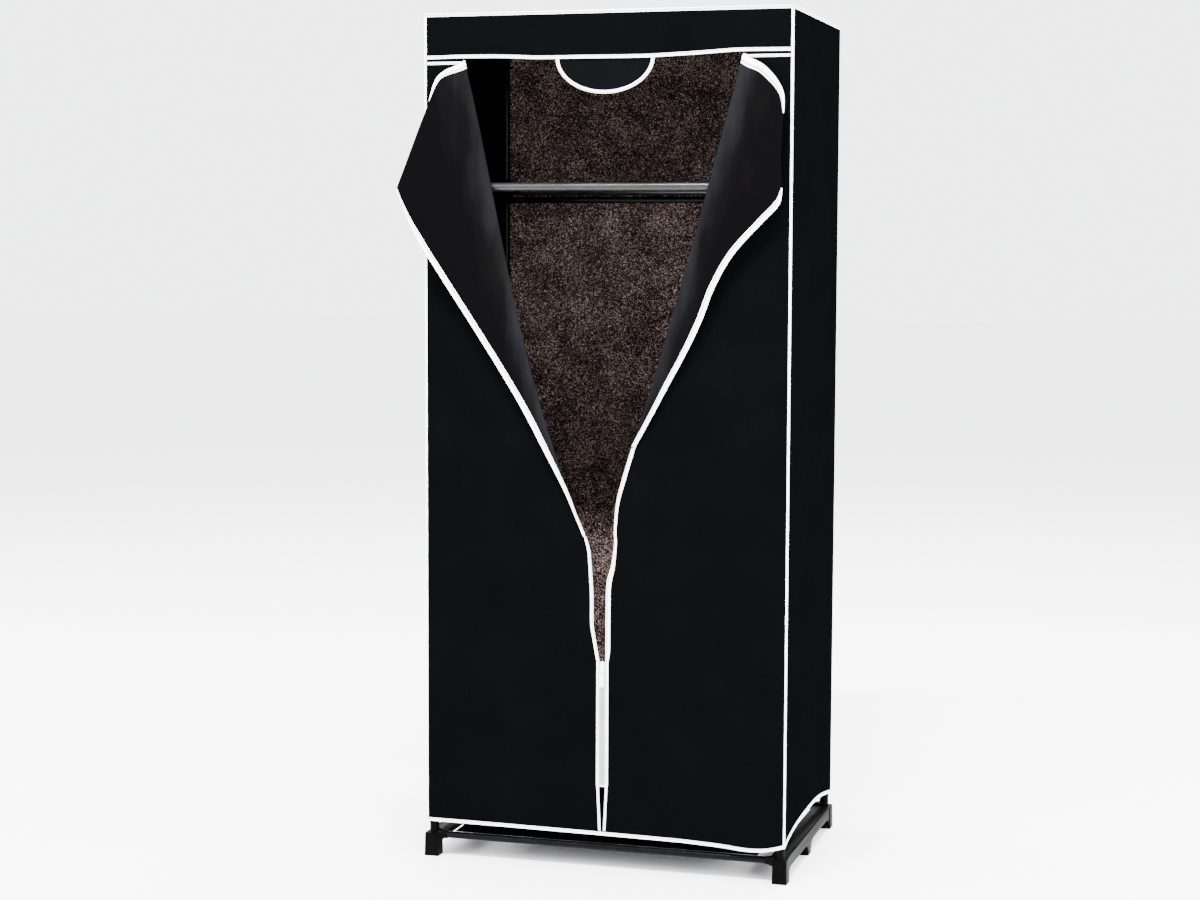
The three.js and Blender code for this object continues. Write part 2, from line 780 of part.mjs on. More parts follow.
function addFlaps(group) {
  for (const door of doors) {
    const surface = flapSurface(door);
    const widthAt = (v) => surface(0, v).distanceTo(surface(1, v));
    // The binding tapers where the flap is too narrow for its whole width and a seam of cloth beside it.
    const bindingShare = (v) => {
      const room = widthAt(v) - 2 * fitGap;
      return Math.min(flapBindingWidth, room * flapBindingMostShare) / widthAt(v);
    };
    const gapShare = (v) => (2 * fitGap) / widthAt(v);
    const cloth = (u, v) => surface(u * (1 - bindingShare(v) - gapShare(v)), v);
    const binding = (u, v) => surface(1 - bindingShare(v) * (1 - u), v);
    place(group, "flap_" + door.name, sheet(cloth, 8, 24, clothThickness), flapCloth);
    place(group, "flap_binding_" + door.name, sheet(binding, 1, 24, 2 * bindingThickness), whiteBinding);
  }
}

// Bindings

function addBindings(group) {
  const halfWidth = coverWidth / 2;
  const halfDepth = coverDepth / 2;
  const outX = halfWidth + fitGap + bindingThickness;
  const outY = halfDepth + fitGap + bindingThickness;
  const hemFoot = hemHeight;
  const hemTop = hemHeight + hemWidth;
  const topFoot = height - topBindingWidth;
  const frontStrip = box([-outX, outX], [-outY, -halfDepth - fitGap], [hemFoot, hemTop]);
  const backStrip = box([-outX, outX], [halfDepth + fitGap, outY], [hemFoot, hemTop]);
  const sideStrip = sideHemShape(outY, (shape, half, peak) => {
    const top = hemTop + sideHemRise;
    shape.lineTo(half, hemTop);
    shape.quadraticCurveTo(half * sideHemBackShare, top, peak, top);
    shape.quadraticCurveTo(-half * sideHemFrontShare, top, -half, hemTop);
  });
  const hem = join(
    frontStrip,
    backStrip,
    sidePanel(sideStrip, halfWidth + fitGap, bindingThickness),
    sidePanel(sideStrip, -outX, bindingThickness),
  );
  place(group, "hem_binding", geometryOf(hem), whiteBinding);

  const outer = box([-outX, outX], [-outY, outY], [topFoot, height]);
  const roof = box(
    [-halfWidth - fitGap, halfWidth + fitGap],
    [-halfDepth - fitGap, halfDepth + fitGap],
    [topFoot - cutOverrun, coverTop + fitGap],
  );
  const window = box(
    [-halfWidth + topBindingWidth, halfWidth - topBindingWidth],
    [-halfDepth + topBindingWidth, halfDepth - topBindingWidth],
    [topFoot - cutOverrun, height + cutOverrun],
  );
  place(group, "top_binding", geometryOf(cut(solidOf(outer), roof, window)), whiteBinding);

  const cornerFoot = hemTop + cornerBindingLift;
  const cornerLength = topFoot - fitGap - cornerFoot;
  for (const [name, sign] of [["left", -1], ["right", 1]]) {
    const outline = [
      [halfWidth - cornerBindingWidth, trimFront],
      [halfWidth - cornerBindingWidth, -outY],
      [outX, -outY],
      [outX, -halfDepth + cornerBindingWidth],
      [halfWidth + fitGap, -halfDepth + cornerBindingWidth],
      [halfWidth + fitGap, trimFront],
    ].map(([x, y]) => [sign * x, y]);
    const corner = extrude(polygon(outline), cornerLength);
    place(group, "corner_binding_" + name, corner, whiteBinding, [0, 0, cornerFoot]);
  }

  const bindingHalf = halfWidth - cornerBindingWidth - fitGap;
  const valanceBinding = box(
    [-bindingHalf, bindingHalf],
    [trimFront - bindingThickness, trimFront],
    [valanceFoot, valanceFoot + valanceBindingWidth],
  );
  place(group, "valance_binding", valanceBinding, whiteBinding);
}

// Half-moon flap

function addHalfMoon(group) {
  const back = frontInner + fitGap + clothThickness;
  const moon = new THREE.Shape();
  moon.moveTo(-moonHalfWidth, valanceFoot + moonLap);
  moon.lineTo(-moonHalfWidth, valanceFoot);
  moon.absellipse(0, valanceFoot, moonHalfWidth, moonDrop, Math.PI, 2 * Math.PI, false);
  moon.lineTo(moonHalfWidth, valanceFoot + moonLap);
  const top = valanceFoot - fitGap;
  const rim = new THREE.Shape();
  rim.absellipse(0, top, moonHalfWidth, moonDrop, Math.PI, 2 * Math.PI, false);
  rim.absellipse(0, top, moonHalfWidth - moonBindingWidth, moonDrop - moonBindingWidth, 2 * Math.PI, Math.PI, true);
  place(group, "half_moon_flap", frontPanel(moon, back, clothThickness), flapCloth);
  place(group, "half_moon_binding", frontPanel(rim, frontInner, bindingThickness), whiteBinding);
}

// Zip

function addZip(group) {
  const tapeFace = frontFace - fitGap - tapeThickness;
  const chainFace = tapeFace - chainRelief;
  const frontPlateBack = chainFace - fitGap;
  const frontPlateFace = frontPlateBack - sliderPlate;
  const backPlateFace = frontFace;
  const neckFoot = sliderTop - 2 * bridgePost;
  const chainFoot = zipStopHeight + fitGap;
  const chainTop = neckFoot - fitGap;

  const tapeHalf = closedHalfGap - fitGap;
  const tape = box([-tapeHalf, tapeHalf], [tapeFace, frontFace - fitGap], [chainFoot, chainTop]);
  const teeth = [];
  const count = Math.floor((chainTop - chainFoot) / toothPitch);
  const pitch = (chainTop - chainFoot) / count;
  for (let index = 0; index < count; index++) {
    const foot = chainFoot + index * pitch;
    teeth.push([chainHalfWidth, foot], [chainHalfWidth, foot + pitch / 2]);
    teeth.push([chainHalfWidth - toothDepth, foot + pitch / 2], [chainHalfWidth - toothDepth, foot + pitch]);
  }
  const mirrored = teeth.map(([x, z]) => [-x, z]).reverse();
  const relief = frontPanel(polygon([...teeth, ...mirrored]), frontFace - fitGap, tapeThickness + chainRelief);
  place(group, "zip_chain", geometryOf(join(tape, relief)), whiteZip);

  const plate = polygon([
    [-sliderHalfWidth * 0.7, sliderHeight],
    [sliderHalfWidth * 0.7, sliderHeight],
    [sliderHalfWidth, sliderTop - sliderHalfWidth],
    [sliderHalfWidth * 0.6, sliderTop],
    [-sliderHalfWidth * 0.6, sliderTop],
    [-sliderHalfWidth, sliderTop - sliderHalfWidth],
  ]);
  const bridgeFoot = sliderHeight + (sliderLength - bridgeLength) / 2;
  const bridgeTop = bridgeFoot + bridgeLength;
  const bridgeFace = frontPlateFace - bridgeHeight;
  const bridgeX = [-bridgeHalfWidth, bridgeHalfWidth];
  const slider = join(
    frontPanel(plate, frontPlateBack, sliderPlate),
    frontPanel(plate, backPlateFace + sliderPlate, sliderPlate - fitGap),
    box(bridgeX, [frontPlateBack, backPlateFace + sliderPlate], [neckFoot, sliderTop]),
    box(bridgeX, [bridgeFace, frontPlateFace], [bridgeFoot, bridgeFoot + bridgePost]),
    box(bridgeX, [bridgeFace, frontPlateFace], [bridgeTop - bridgePost, bridgeTop]),
    box(bridgeX, [bridgeFace, bridgeFace + bridgeBar], [bridgeFoot, bridgeTop]),
  );
  place(group, "zip_slider", geometryOf(slider), whiteZip);

  const pinY = (frontPlateFace + bridgeFace + bridgeBar) / 2;
  const pinZ = bridgeFoot + bridgePost + 2 * tabPinRadius;
  const armInner = bridgeHalfWidth + tabArm / 2;
  const armOuter = armInner + tabArm;
  const armY = [-tabThickness / 2, tabThickness / 2];
  const pin = bar(tabPinRadius, -armOuter, armOuter).rotateY(Math.PI / 2);
  const arm = (low, high) => box([low, high], armY, [-tabArmLength, tabPinRadius]);
  const blade = box([-tabHalfWidth, tabHalfWidth], armY, [-tabArmLength - tabLength, -tabArmLength]);
  const tab = join(pin, arm(-armOuter, -armInner), arm(armInner, armOuter), blade);
  place(group, "pull_tab", geometryOf(tab), whiteZip, [0, pinY, pinZ]);
}

const frame = new THREE.Group();
const cloth = new THREE.Group();
const trim = new THREE.Group();
addBases(frame);
addUprights(frame);
addRails(frame);
addFittings(frame);
addHangingRail(frame);
addShelfAndFloor(cloth);
addCoverPanels(cloth);
addDoors(cloth);
addFlaps(cloth);
addHalfMoon(trim);
addBindings(trim);
addZip(trim);
wardrobe.add(frame, cloth, trim);

// The flaps stand out to one side and to the front, so the origin is set under the middle of the whole.
const middle = new THREE.Box3().setFromObject(wardrobe).getCenter(new THREE.Vector3());
wardrobe.position.set(-middle.x, -middle.y, 0);

const part = new THREE.Group();
part.add(wardrobe);

export default part;
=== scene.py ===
# Portable fabric wardrobe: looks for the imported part.
import json
import math

import bmesh
import bpy
import numpy as np
from mathutils import Matrix, Vector, noise


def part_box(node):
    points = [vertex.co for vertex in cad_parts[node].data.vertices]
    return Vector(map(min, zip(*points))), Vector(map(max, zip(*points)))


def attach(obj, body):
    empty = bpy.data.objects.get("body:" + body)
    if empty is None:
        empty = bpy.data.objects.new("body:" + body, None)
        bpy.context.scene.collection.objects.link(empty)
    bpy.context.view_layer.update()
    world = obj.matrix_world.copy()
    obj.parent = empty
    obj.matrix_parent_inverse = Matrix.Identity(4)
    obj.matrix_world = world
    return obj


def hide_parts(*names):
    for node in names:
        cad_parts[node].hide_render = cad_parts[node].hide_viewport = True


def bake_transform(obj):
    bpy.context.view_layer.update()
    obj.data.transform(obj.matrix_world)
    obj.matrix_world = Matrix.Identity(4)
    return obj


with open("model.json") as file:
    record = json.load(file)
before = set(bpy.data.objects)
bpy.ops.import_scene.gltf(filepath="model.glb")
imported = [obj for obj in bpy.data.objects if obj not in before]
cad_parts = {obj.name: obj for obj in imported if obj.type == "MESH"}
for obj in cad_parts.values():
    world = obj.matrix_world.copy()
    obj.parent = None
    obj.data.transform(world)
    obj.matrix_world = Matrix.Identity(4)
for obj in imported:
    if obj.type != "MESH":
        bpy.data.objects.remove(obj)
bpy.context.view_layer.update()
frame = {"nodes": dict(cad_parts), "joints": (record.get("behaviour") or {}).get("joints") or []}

BODY = "frame_and_cover"
MM = 0.001
X, Y, Z = 0, 1, 2

# Places are in millimetres from the ground under the middle of the cover
roof_low, roof_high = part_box("cover_top")
CENTRE = Vector(((roof_low[X] + roof_high[X]) / 2, (roof_low[Y] + roof_high[Y]) / 2, 0))


def at(x, y, z):
    return Vector((CENTRE.x + x * MM, CENTRE.y + y * MM, z * MM))


# A node's lower and upper end along an axis, to a hundredth of a millimetre
def reach(node, axis):
    return [round((end[axis] - CENTRE[axis]) / MM, 2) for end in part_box(node)]


def middle_of(node, axis):
    return sum(reach(node, axis)) / 2


# Sizes that the CAD part settles
CLOTH = 1.2
GAP = 0.3
HALF_W = reach("cover_top", X)[1]
HALF_D = reach("cover_top", Y)[1]
TOP = reach("cover_top", Z)[1]
FULL_TOP = reach("top_binding", Z)[1]
VALANCE_Z = reach("cover_valance", Z)[0]
DOOR_TOP = reach("door_left", Z)[1]
FOLD_TOP_Z = DOOR_TOP - 8.0
STAND_OFF = 34.0
SHELF_Z = middle_of("shelf_rail_front", Z)
BOTTOM_Z = middle_of("bottom_rail_front", Z)
UP_Y = middle_of("upright_lower_back_right", Y)
RAIL_R = reach("shelf_rail_front", Z)[1] - SHELF_Z
SHELF_HALF_W = reach("shelf_cloth", X)[1]
FLOOR_HALF_W = reach("floor_panel", X)[1]
MOON_W = reach("half_moon_binding", X)[1]
CLOSED = reach("zip_chain", X)[1] + GAP
ZIP_STOP = reach("zip_chain", Z)[0] - GAP
SLIDER_TOP = reach("zip_slider", Z)[1]

# The side hems' arch: its height, where its top lies, and how far its curves run level
HEM_RISE = 22.0
HEM_PEAK = 33.75
HEM_FRONT = 168.75
HEM_BACK = 112.5

# Cloth and tapes as the photograph shows them
SHEET = 1.0
TAPE = 1.2
WAVE = 0.15
HEM_Z = 68.5
HEM_W = 6.2
CORNER_W = 4.5
TOP_W = 6.0
VALANCE_W = 6.0
DOOR_TAPE_W = 4.8
FLAP_TAPE_W = 10.5
EDGE_W = 7.0
EDGE_TAPE = 1.3
MOON_H = 66.0
MOON_RIM = 6.0
SLIT_FOOT = 2.4
SLIT_TOP = 6.0

# How far a fold in a panel may go inwards
FLATTEST = -0.25


# Node trees
class Tree:
    def __init__(self, name):
        self.material = bpy.data.materials.new(name)
        self.material.use_nodes = True
        self.nodes = self.material.node_tree.nodes
        self.links = self.material.node_tree.links
        self.shader = self.nodes["Principled BSDF"]

    def add(self, kind, **values):
        node = self.nodes.new(kind)
        for key, value in values.items():
            setattr(node, key, value)
        return node

    def put(self, socket, value):
        if isinstance(value, bpy.types.NodeSocket):
            self.links.new(value, socket)
        else:
            socket.default_value = value

    def math(self, operation, a, b=0.0):
        node = self.add("ShaderNodeMath", operation=operation)
        self.put(node.inputs[0], a)
        self.put(node.inputs[1], b)
        return node.outputs[0]

    # The sum of values, each times its weight
    def total(self, *parts):
        scaled = [self.math("MULTIPLY", value, weight) for value, weight in parts]
        result = scaled[0]
        for value in scaled[1:]:
            result = self.math("ADD", result, value)
        return result

    def place(self, scale=(1, 1, 1)):
        coords = self.add("ShaderNodeTexCoord")
        mapping = self.add("ShaderNodeMapping")
        mapping.inputs["Scale"].default_value = scale
        self.links.new(coords.outputs["Object"], mapping.inputs["Vector"])
        return mapping.outputs[0]

    # The two coordinates along and across a cloth or a tape, in metres or as a share
    def along_and_across(self):
        coords = self.add("ShaderNodeTexCoord")
        split = self.add("ShaderNodeSeparateXYZ")
        self.links.new(coords.outputs["UV"], split.inputs[0])
        return split.outputs[0], split.outputs[1]

    def noise(self, vector, scale, detail=2.0, rough=0.5):
        node = self.add("ShaderNodeTexNoise")
        self.put(node.inputs["Vector"], vector)
        self.put(node.inputs["Scale"], scale)
        self.put(node.inputs["Detail"], detail)
        self.put(node.inputs["Roughness"], rough)
        return node.outputs["Fac"]

    def cells(self, vector, scale):
        node = self.add("ShaderNodeTexVoronoi")
        self.put(node.inputs["Vector"], vector)
        self.put(node.inputs["Scale"], scale)
        return node

    # Flat cells, each with a value of its own
    def specks(self, vector, scale):
        split = self.add("ShaderNodeSeparateColor")
        self.links.new(self.cells(vector, scale).outputs["Color"], split.inputs["Color"])
        return split.outputs["Red"]

    def mix(self, factor, a, b):
        node = self.add("ShaderNodeMix", data_type="RGBA")
        self.put(node.inputs["Factor"], factor)
        self.put(node.inputs[6], a)
        self.put(node.inputs[7], b)
        return node.outputs[2]

    def ramp(self, factor, stops):
        node = self.add("ShaderNodeValToRGB")
        ramp = node.color_ramp
        while len(ramp.elements) < len(stops):
            ramp.elements.new(0.5)
        for element, (position, color) in zip(ramp.elements, stops):
            element.position = position
            element.color = (*color, 1)
        self.put(node.inputs["Fac"], factor)
        return node.outputs["Color"]

    def bump(self, height, distance, strength=1.0, below=None):
        node = self.add("ShaderNodeBump")
        self.put(node.inputs["Height"], height)
        node.inputs["Distance"].default_value = distance
        node.inputs["Strength"].default_value = strength
        if below is not None:
            self.links.new(below, node.inputs["Normal"])
        return node.outputs["Normal"]

    def finish(self, color, rough, normal=None, **fixed):
        self.put(self.shader.inputs["Base Color"], color)
        self.put(self.shader.inputs["Roughness"], rough)
        if normal is not None:
            self.links.new(normal, self.shader.inputs["Normal"])
        for key, value in fixed.items():
            self.shader.inputs[key.replace("_", " ")].default_value = value
        return self.material


def grey(value, tint=(1, 1, 1)):
    return tuple(value * t for t in tint)


# What the non-woven cloths share: pressed dimples in rows, and loose fibres
def non_woven(t):
    dots = t.cells(t.place(), 620).outputs["Distance"]
    fibres = t.noise(t.place(scale=(1, 1, 0.5)), 1500, 3, 0.7)
    normal = t.bump(dots, 0.0004, 0.5)
    return fibres, t.bump(fibres, 0.0002, 0.4, normal)


# Non-woven cloth with a slight unevenness of the dye
def cloth_look(name, dark, light, tint):
    t = Tree(name)
    fibres, normal = non_woven(t)
    cloudy = t.noise(t.place(), 9, 3)
    mixed = t.total((fibres, 0.7), (cloudy, 0.3))
    color = t.ramp(mixed, [(0.3, grey(dark, tint)), (0.7, grey(light, tint))])
    rough = t.math("ADD", 0.8, t.math("MULTIPLY", fibres, 0.2))
    return t.finish(color, rough, normal, Specular_IOR_Level=0.0)


# The lining of the folded doors: the same cloth, with a painted sheen that makes it pale beside the fold
def lining_look(name):
    t = Tree(name)
    fibres, normal = non_woven(t)
    from_fold = t.along_and_across()[1]
    streaks = t.noise(t.place(scale=(1, 1, 0.25)), 26, 3)
    # Painted sheen: pale near the fold, where the curved cloth catches the light, fading out over about 85 mm
    # and broken by streaks
    painted_sheen = t.math("SUBTRACT", 1.0, t.math("DIVIDE", from_fold, 0.085))
    painted_sheen = t.math("ADD", painted_sheen, t.math("MULTIPLY", t.math("SUBTRACT", streaks, 0.5), 1.4))
    mixed = t.total((painted_sheen, 0.75), (fibres, 0.25))
    color = t.ramp(
        mixed,
        [(0.1, (0.0004, 0.0003, 0.0004)), (0.45, (0.0009, 0.0008, 0.0009)), (0.95, (0.0043, 0.0043, 0.0051))],
    )
    return t.finish(color, 0.9, normal, Specular_IOR_Level=0.02)


# Pressed felt: grey-brown fibres, peppered with dark and pale flecks
def felt_look(name):
    t = Tree(name)
    cloudy = t.noise(t.place(), 16, 3)
    fibres = t.noise(t.place(), 480, 2, 0.7)
    flecks = t.specks(t.place(), 520)
    pepper = t.specks(t.place(), 950)
    mixed = t.total((flecks, 0.32), (pepper, 0.28), (fibres, 0.20), (cloudy, 0.20))
    tones = [
        (0.33, (0.0009, 0.0006, 0.0006)),
        (0.48, (0.0095, 0.0062, 0.0056)),
        (0.60, (0.044, 0.030, 0.027)),
        (0.72, (0.33, 0.245, 0.22)),
    ]
    color = t.ramp(mixed, tones)
    normal = t.bump(fibres, 0.0012, 0.6)
    return t.finish(color, 0.95, normal, Specular_IOR_Level=0.02)


# White bias tape: a fine weave, and a row of stitches in a groove near the inner edge, with painted shade
# darkening the groove
STITCH = 0.0034
WEAVE = 0.0006


def tape_look(name):
    t = Tree(name)
    along, across = t.along_and_across()
    dash = t.math("LESS_THAN", t.math("FRACT", t.math("MULTIPLY", along, 1 / STITCH)), 0.66)
    off_seam = t.math("ABSOLUTE", t.math("SUBTRACT", across, 0.3))
    stitch = t.math("MULTIPLY", dash, t.math("LESS_THAN", off_seam, 0.04))
    groove = t.math("LESS_THAN", off_seam, 0.1)
    warp = t.math("SINE", t.math("MULTIPLY", along, 2 * math.pi / WEAVE))
    fuzz = t.noise(t.place(), 1800, 2)
    cloudy = t.noise(t.place(), 60, 2)
    plain = t.ramp(cloudy, [(0.3, (0.86, 0.86, 0.87)), (0.7, (0.94, 0.94, 0.94))])
    # Painted shade: the groove's colour is mixed almost to black, as shade in the crease
    shade = t.mix(t.math("MULTIPLY", groove, 0.95), plain, (0.05, 0.05, 0.052, 1))
    color = t.mix(stitch, shade, (0.96, 0.96, 0.96, 1))
    height = t.total((warp, 0.12), (fuzz, 0.5), (groove, -1.0), (stitch, 1.3))
    normal = t.bump(height, 0.0003, 0.8)
    return t.finish(color, 0.85, normal, Specular_IOR_Level=0.3, Sheen_Weight=0.1)


# Black enamel on the tubes
def paint_look(name):
    t = Tree(name)
    peel = t.noise(t.place(), 260, 2)
    wear = t.noise(t.place(), 40, 5, 0.7)
    color = t.ramp(wear, [(0.4, (0.0006, 0.0006, 0.0007)), (0.75, (0.0015, 0.0015, 0.0018))])
    rough = t.math("ADD", 0.13, t.math("MULTIPLY", wear, 0.1))
    normal = t.bump(peel, 0.00005, 0.3)
    return t.finish(color, rough, normal, Specular_IOR_Level=0.035)


# Moulded plastic with a fine grain
def moulded_look(name, dark, light, rough_low, gloss):
    t = Tree(name)
    grain = t.noise(t.place(), 900, 3, 0.6)
    flow = t.noise(t.place(), 25, 3)
    color = t.ramp(flow, [(0.3, grey(dark)), (0.75, grey(light))])
    rough = t.math("ADD", rough_low, t.math("MULTIPLY", grain, 0.2))
    normal = t.bump(grain, 0.00015, 0.5)
    return t.finish(color, rough, normal, Specular_IOR_Level=gloss)


# Shelf cloth: fine lengthwise lines and a metallic sheen
def shelf_look(name):
    t = Tree(name)
    lines = t.noise(t.place(scale=(0.06, 1, 1)), 900, 2, 0.6)
    fibres = t.noise(t.place(), 1300, 2)
    color = t.ramp(lines, [(0.38, (0.0015, 0.0015, 0.0015)), (0.64, (0.012, 0.012, 0.0125))])
    normal = t.bump(lines, 0.0003, 0.6)
    normal = t.bump(fibres, 0.0001, 0.3, normal)
    return t.finish(color, 0.21, normal, Specular_IOR_Level=0.24)


cover_cloth = cloth_look("cover_cloth", 0.0006, 0.0013, (0.92, 1, 1.08))
lining_cloth = lining_look("flap_lining")
moon_cloth = cloth_look("moon_lining", 0.0010, 0.0020, (0.93, 0.96, 1.15))
inner_cloth = cloth_look("inner_cloth", 0.0008, 0.0020, (1.05, 0.99, 1.0))
back_felt = felt_look("back_felt")
white_tape = tape_look("white_tape")
black_paint = paint_look("black_paint")
black_plastic = moulded_look("black_plastic", 0.0004, 0.0010, 0.38, 0.012)
white_plastic = moulded_look("white_plastic", 0.74, 0.84, 0.3, 0.4)
chain_plastic = moulded_look("chain_plastic", 0.22, 0.30, 0.3, 0.4)
grey_shelf = shelf_look("grey_shelf")


# Meshes
def placed(name, data):
    made = bpy.data.objects.new(name, data)
    bpy.context.scene.collection.objects.link(made)
    return made


def new_object(name, verts, faces, look, uvs=None):
    mesh = bpy.data.meshes.new(name)
    mesh.from_pydata([tuple(v) for v in verts], [], faces)
    if uvs is not None:
        layer = mesh.uv_layers.new(name="UVMap")
        flat = [uvs[index] for polygon in mesh.polygons for index in polygon.vertices]
        layer.data.foreach_set("uv", np.array(flat, np.float32).ravel())
    mesh.shade_smooth()
    mesh.materials.append(look)
    mesh.validate()
    mesh.update()
    return placed(name, mesh)


# A cloth from a grid of points, rows by columns, with a look for its back where that differs
def cloth_object(name, grid, look, back_look=None):
    rows = grid.shape[0] - 1
    columns = grid.shape[1] - 1
    across = np.gradient(grid, axis=1)
    along = np.gradient(grid, axis=0)
    normal = np.cross(across, along)
    normal /= np.linalg.norm(normal, axis=2, keepdims=True) + 1e-12
    half = SHEET * MM / 2
    verts = np.concatenate([s.reshape(-1, 3) for s in (grid + normal * half, grid - normal * half)])
    count = (rows + 1) * (columns + 1)

    def index(side, column, row):
        return side * count + row * (columns + 1) + column

    faces = []
    marks = []
    for row in range(rows):
        for column in range(columns):
            a = [(column, row), (column + 1, row), (column + 1, row + 1), (column, row + 1)]
            faces.append([index(0, *p) for p in a])
            marks.append(0)
            faces.append([index(1, *p) for p in reversed(a)])
            marks.append(1)
    rim = (
        [(c, 0, c + 1, 0) for c in range(columns)]
        + [(columns, r, columns, r + 1) for r in range(rows)]
        + [(c + 1, rows, c, rows) for c in range(columns)]
        + [(0, r + 1, 0, r) for r in range(rows)]
    )
    for c0, r0, c1, r1 in rim:
        faces.append([index(1, c0, r0), index(1, c1, r1), index(0, c1, r1), index(0, c0, r0)])
        marks.append(0)
    step = np.linalg.norm(np.diff(grid, axis=1), axis=2)
    wide = np.concatenate([np.zeros((rows + 1, 1)), np.cumsum(step, axis=1)], axis=1)
    step = np.linalg.norm(np.diff(grid, axis=0), axis=2)
    long = np.concatenate([np.zeros((1, columns + 1)), np.cumsum(step, axis=0)], axis=0)
    one = np.stack([long.ravel(), wide.ravel()], axis=1)
    piece = new_object(name, verts, faces, look, np.concatenate([one, one]))
    if back_look is not None:
        piece.data.materials.append(back_look)
        piece.data.polygons.foreach_set("material_index", marks)
    return piece


def smooth_step(value):
    value = np.clip(value, 0, 1)
    return value * value * (3 - 2 * value)


# Perlin noise over arrays of coordinates
def wander(a, b, seed, scale_a, scale_b):
    flat = [noise.noise(Vector((x * scale_a, y * scale_b, seed))) for x, y in zip(a.ravel(), b.ravel())]
    return np.array(flat).reshape(a.shape)


# How far a hung panel stands off its plane: soft upright folds, small dents, and puckers at its seams
FOLD_SCALE = (0.011, 0.0016)
FOLD_SHARE = 1.5
DENT_SCALE = (0.03, 0.013)
DENT_SHARE = 0.6
SEAM_FADE = 45.0
PUCKER_PITCH = 23.0
PUCKER_REACH = 9.0
SEAM_EASE = 3.0


def hang(u, v, width, length, seed, depth, pucker=0.5):
    from_left = u * width
    from_low = v * length
    seams = (
        (from_left, from_low),
        ((1 - u) * width, from_low),
        (from_low, from_left),
        ((1 - v) * length, from_left),
    )
    window = np.ones_like(u)
    small = np.zeros_like(u)
    for distance, along in seams:
        window = window * smooth_step(distance / SEAM_FADE)
        phase = 3 * wander(along, distance * 0, seed + 2.1, 0.02, 0)
        ripple = np.sin(along * 2 * np.pi / PUCKER_PITCH + phase) * np.exp(-distance / PUCKER_REACH)
        small = small + ripple * pucker * smooth_step(distance / SEAM_EASE)
    folds = wander(from_left, from_low, seed, *FOLD_SCALE)
    dents = wander(from_left, from_low, seed + 7.3, *DENT_SCALE)
    return depth * window * (folds * FOLD_SHARE + dents * DENT_SHARE) + small


def grid_uv(columns, rows):
    return np.meshgrid(np.linspace(0, 1, columns + 1), np.linspace(0, 1, rows + 1))


# Evenly spaced places from one to another, both ends included
def spaced(start, end, steps):
    return [start + (end - start) * k / steps for k in range(steps + 1)]


def to_world(x, y, z):
    return np.stack([CENTRE.x + x * MM, CENTRE.y + y * MM, z * MM], axis=2)


# The side hems' arch, the same two curves as in the CAD part
def hem_height(y):
    t = np.linspace(0, 1, 60)
    rise = 1 - (1 - t) ** 2
    fore = -HALF_D * (1 - t) ** 2 - HEM_FRONT * 2 * t * (1 - t) + HEM_PEAK * t**2
    back = HALF_D * (1 - t) ** 2 + HEM_BACK * 2 * t * (1 - t) + HEM_PEAK * t**2
    places = np.concatenate([fore, back[::-1][1:]])
    heights = np.concatenate([rise, rise[::-1][1:]])
    return HEM_Z + HEM_RISE * np.interp(y, places, heights)


# A soft curve through a table of (place, value) rows
def soft_curve(table, places):
    at_places = np.linspace(-HALF_W, HALF_W, 281)
    rough = np.interp(at_places, *zip(*table))
    window = np.hanning(23) / np.hanning(23).sum()
    soft = np.convolve(np.pad(rough, 11, mode="edge"), window, mode="valid")
    return np.interp(places, at_places, soft)


# Where the front hem and the valance's lower edge hang off their straight lines
HEM_WAVE = [
    (-HALF_W, 0), (-200, -0.5), (0, -2.2), (155, -4), (230, -7.5), (275, -12), (310, -11.5), (345, -2.5),
    (HALF_W, 0),
]
VALANCE_WAVE = [
    (-HALF_W, 1.5), (-282, 2.5), (-206, 1.8), (-130, -1.8), (-35, -2.2), (79, -2.8), (174, 1), (250, 5.5),
    (HALF_W, 4.5),
]
HEM_FADE = 12.0


def front_hem(x):
    return HEM_Z + soft_curve(HEM_WAVE, x) * smooth_step((HALF_W - np.abs(x)) / HEM_FADE)


def valance_foot(x):
    return VALANCE_Z + soft_curve(VALANCE_WAVE, x)


# Sweeps a profile of (side, out, across) rows along a path of (place, side direction, out direction) rows
def sweep(name, path, profile, closed=False):
    ring = len(profile)
    verts = []
    uvs = []
    length = 0.0
    previous = None
    points = path + path[:1] if closed else path
    for place, side, out in points:
        if previous is not None:
            length += (place - previous).length
        previous = place
        for a, b, share in profile:
            verts.append(place + side * (a * MM) + out * (b * MM))
            uvs.append((length, share))
    faces = []
    for row in range(len(points) - 1):
        for k in range(ring):
            n = (k + 1) % ring
            faces.append([row * ring + k, row * ring + n, (row + 1) * ring + n, (row + 1) * ring + k])
    if not closed:
        faces.append(list(reversed(range(ring))))
        last = (len(points) - 1) * ring
        faces.append([last + k for k in range(ring)])
    piece = new_object(name, verts, faces, white_tape, uvs)
    mesh = bmesh.new()
    mesh.from_mesh(piece.data)
    if closed:
        bmesh.ops.remove_doubles(mesh, verts=mesh.verts, dist=1e-6)
    bmesh.ops.recalc_face_normals(mesh, faces=mesh.faces)
    mesh.to_mesh(piece.data)
    mesh.free()
    return piece


# A flat tape's section: folded edges and a low crown
def tape_profile(width, thick=TAPE, both=False):
    half = width / 2
    top = [
        (-1, 0.25), (-0.97, 0.75), (-0.86, 1.0), (-0.62, 0.86), (-0.48, 0.72), (-0.34, 0.86),
        (0, 1.0), (0.5, 0.98), (0.86, 1.0), (0.97, 0.75), (1, 0.25),
    ]
    points = [(half * a, thick * h, (a + 1) / 2) for a, h in top]
    if both:
        points += [(half * a, -thick * h, (a + 1) / 2) for a, h in reversed(top)]
    else:
        points += [(half, 0, 1), (-half, 0, 0)]
    return points


def finish_piece(piece, nodes=(), body=BODY):
    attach(piece, body)
    if nodes:
        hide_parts(*nodes)
    return piece


def binding(name, path, profile, nodes=(), closed=False):
    return finish_piece(sweep(name, path, profile, closed), nodes)


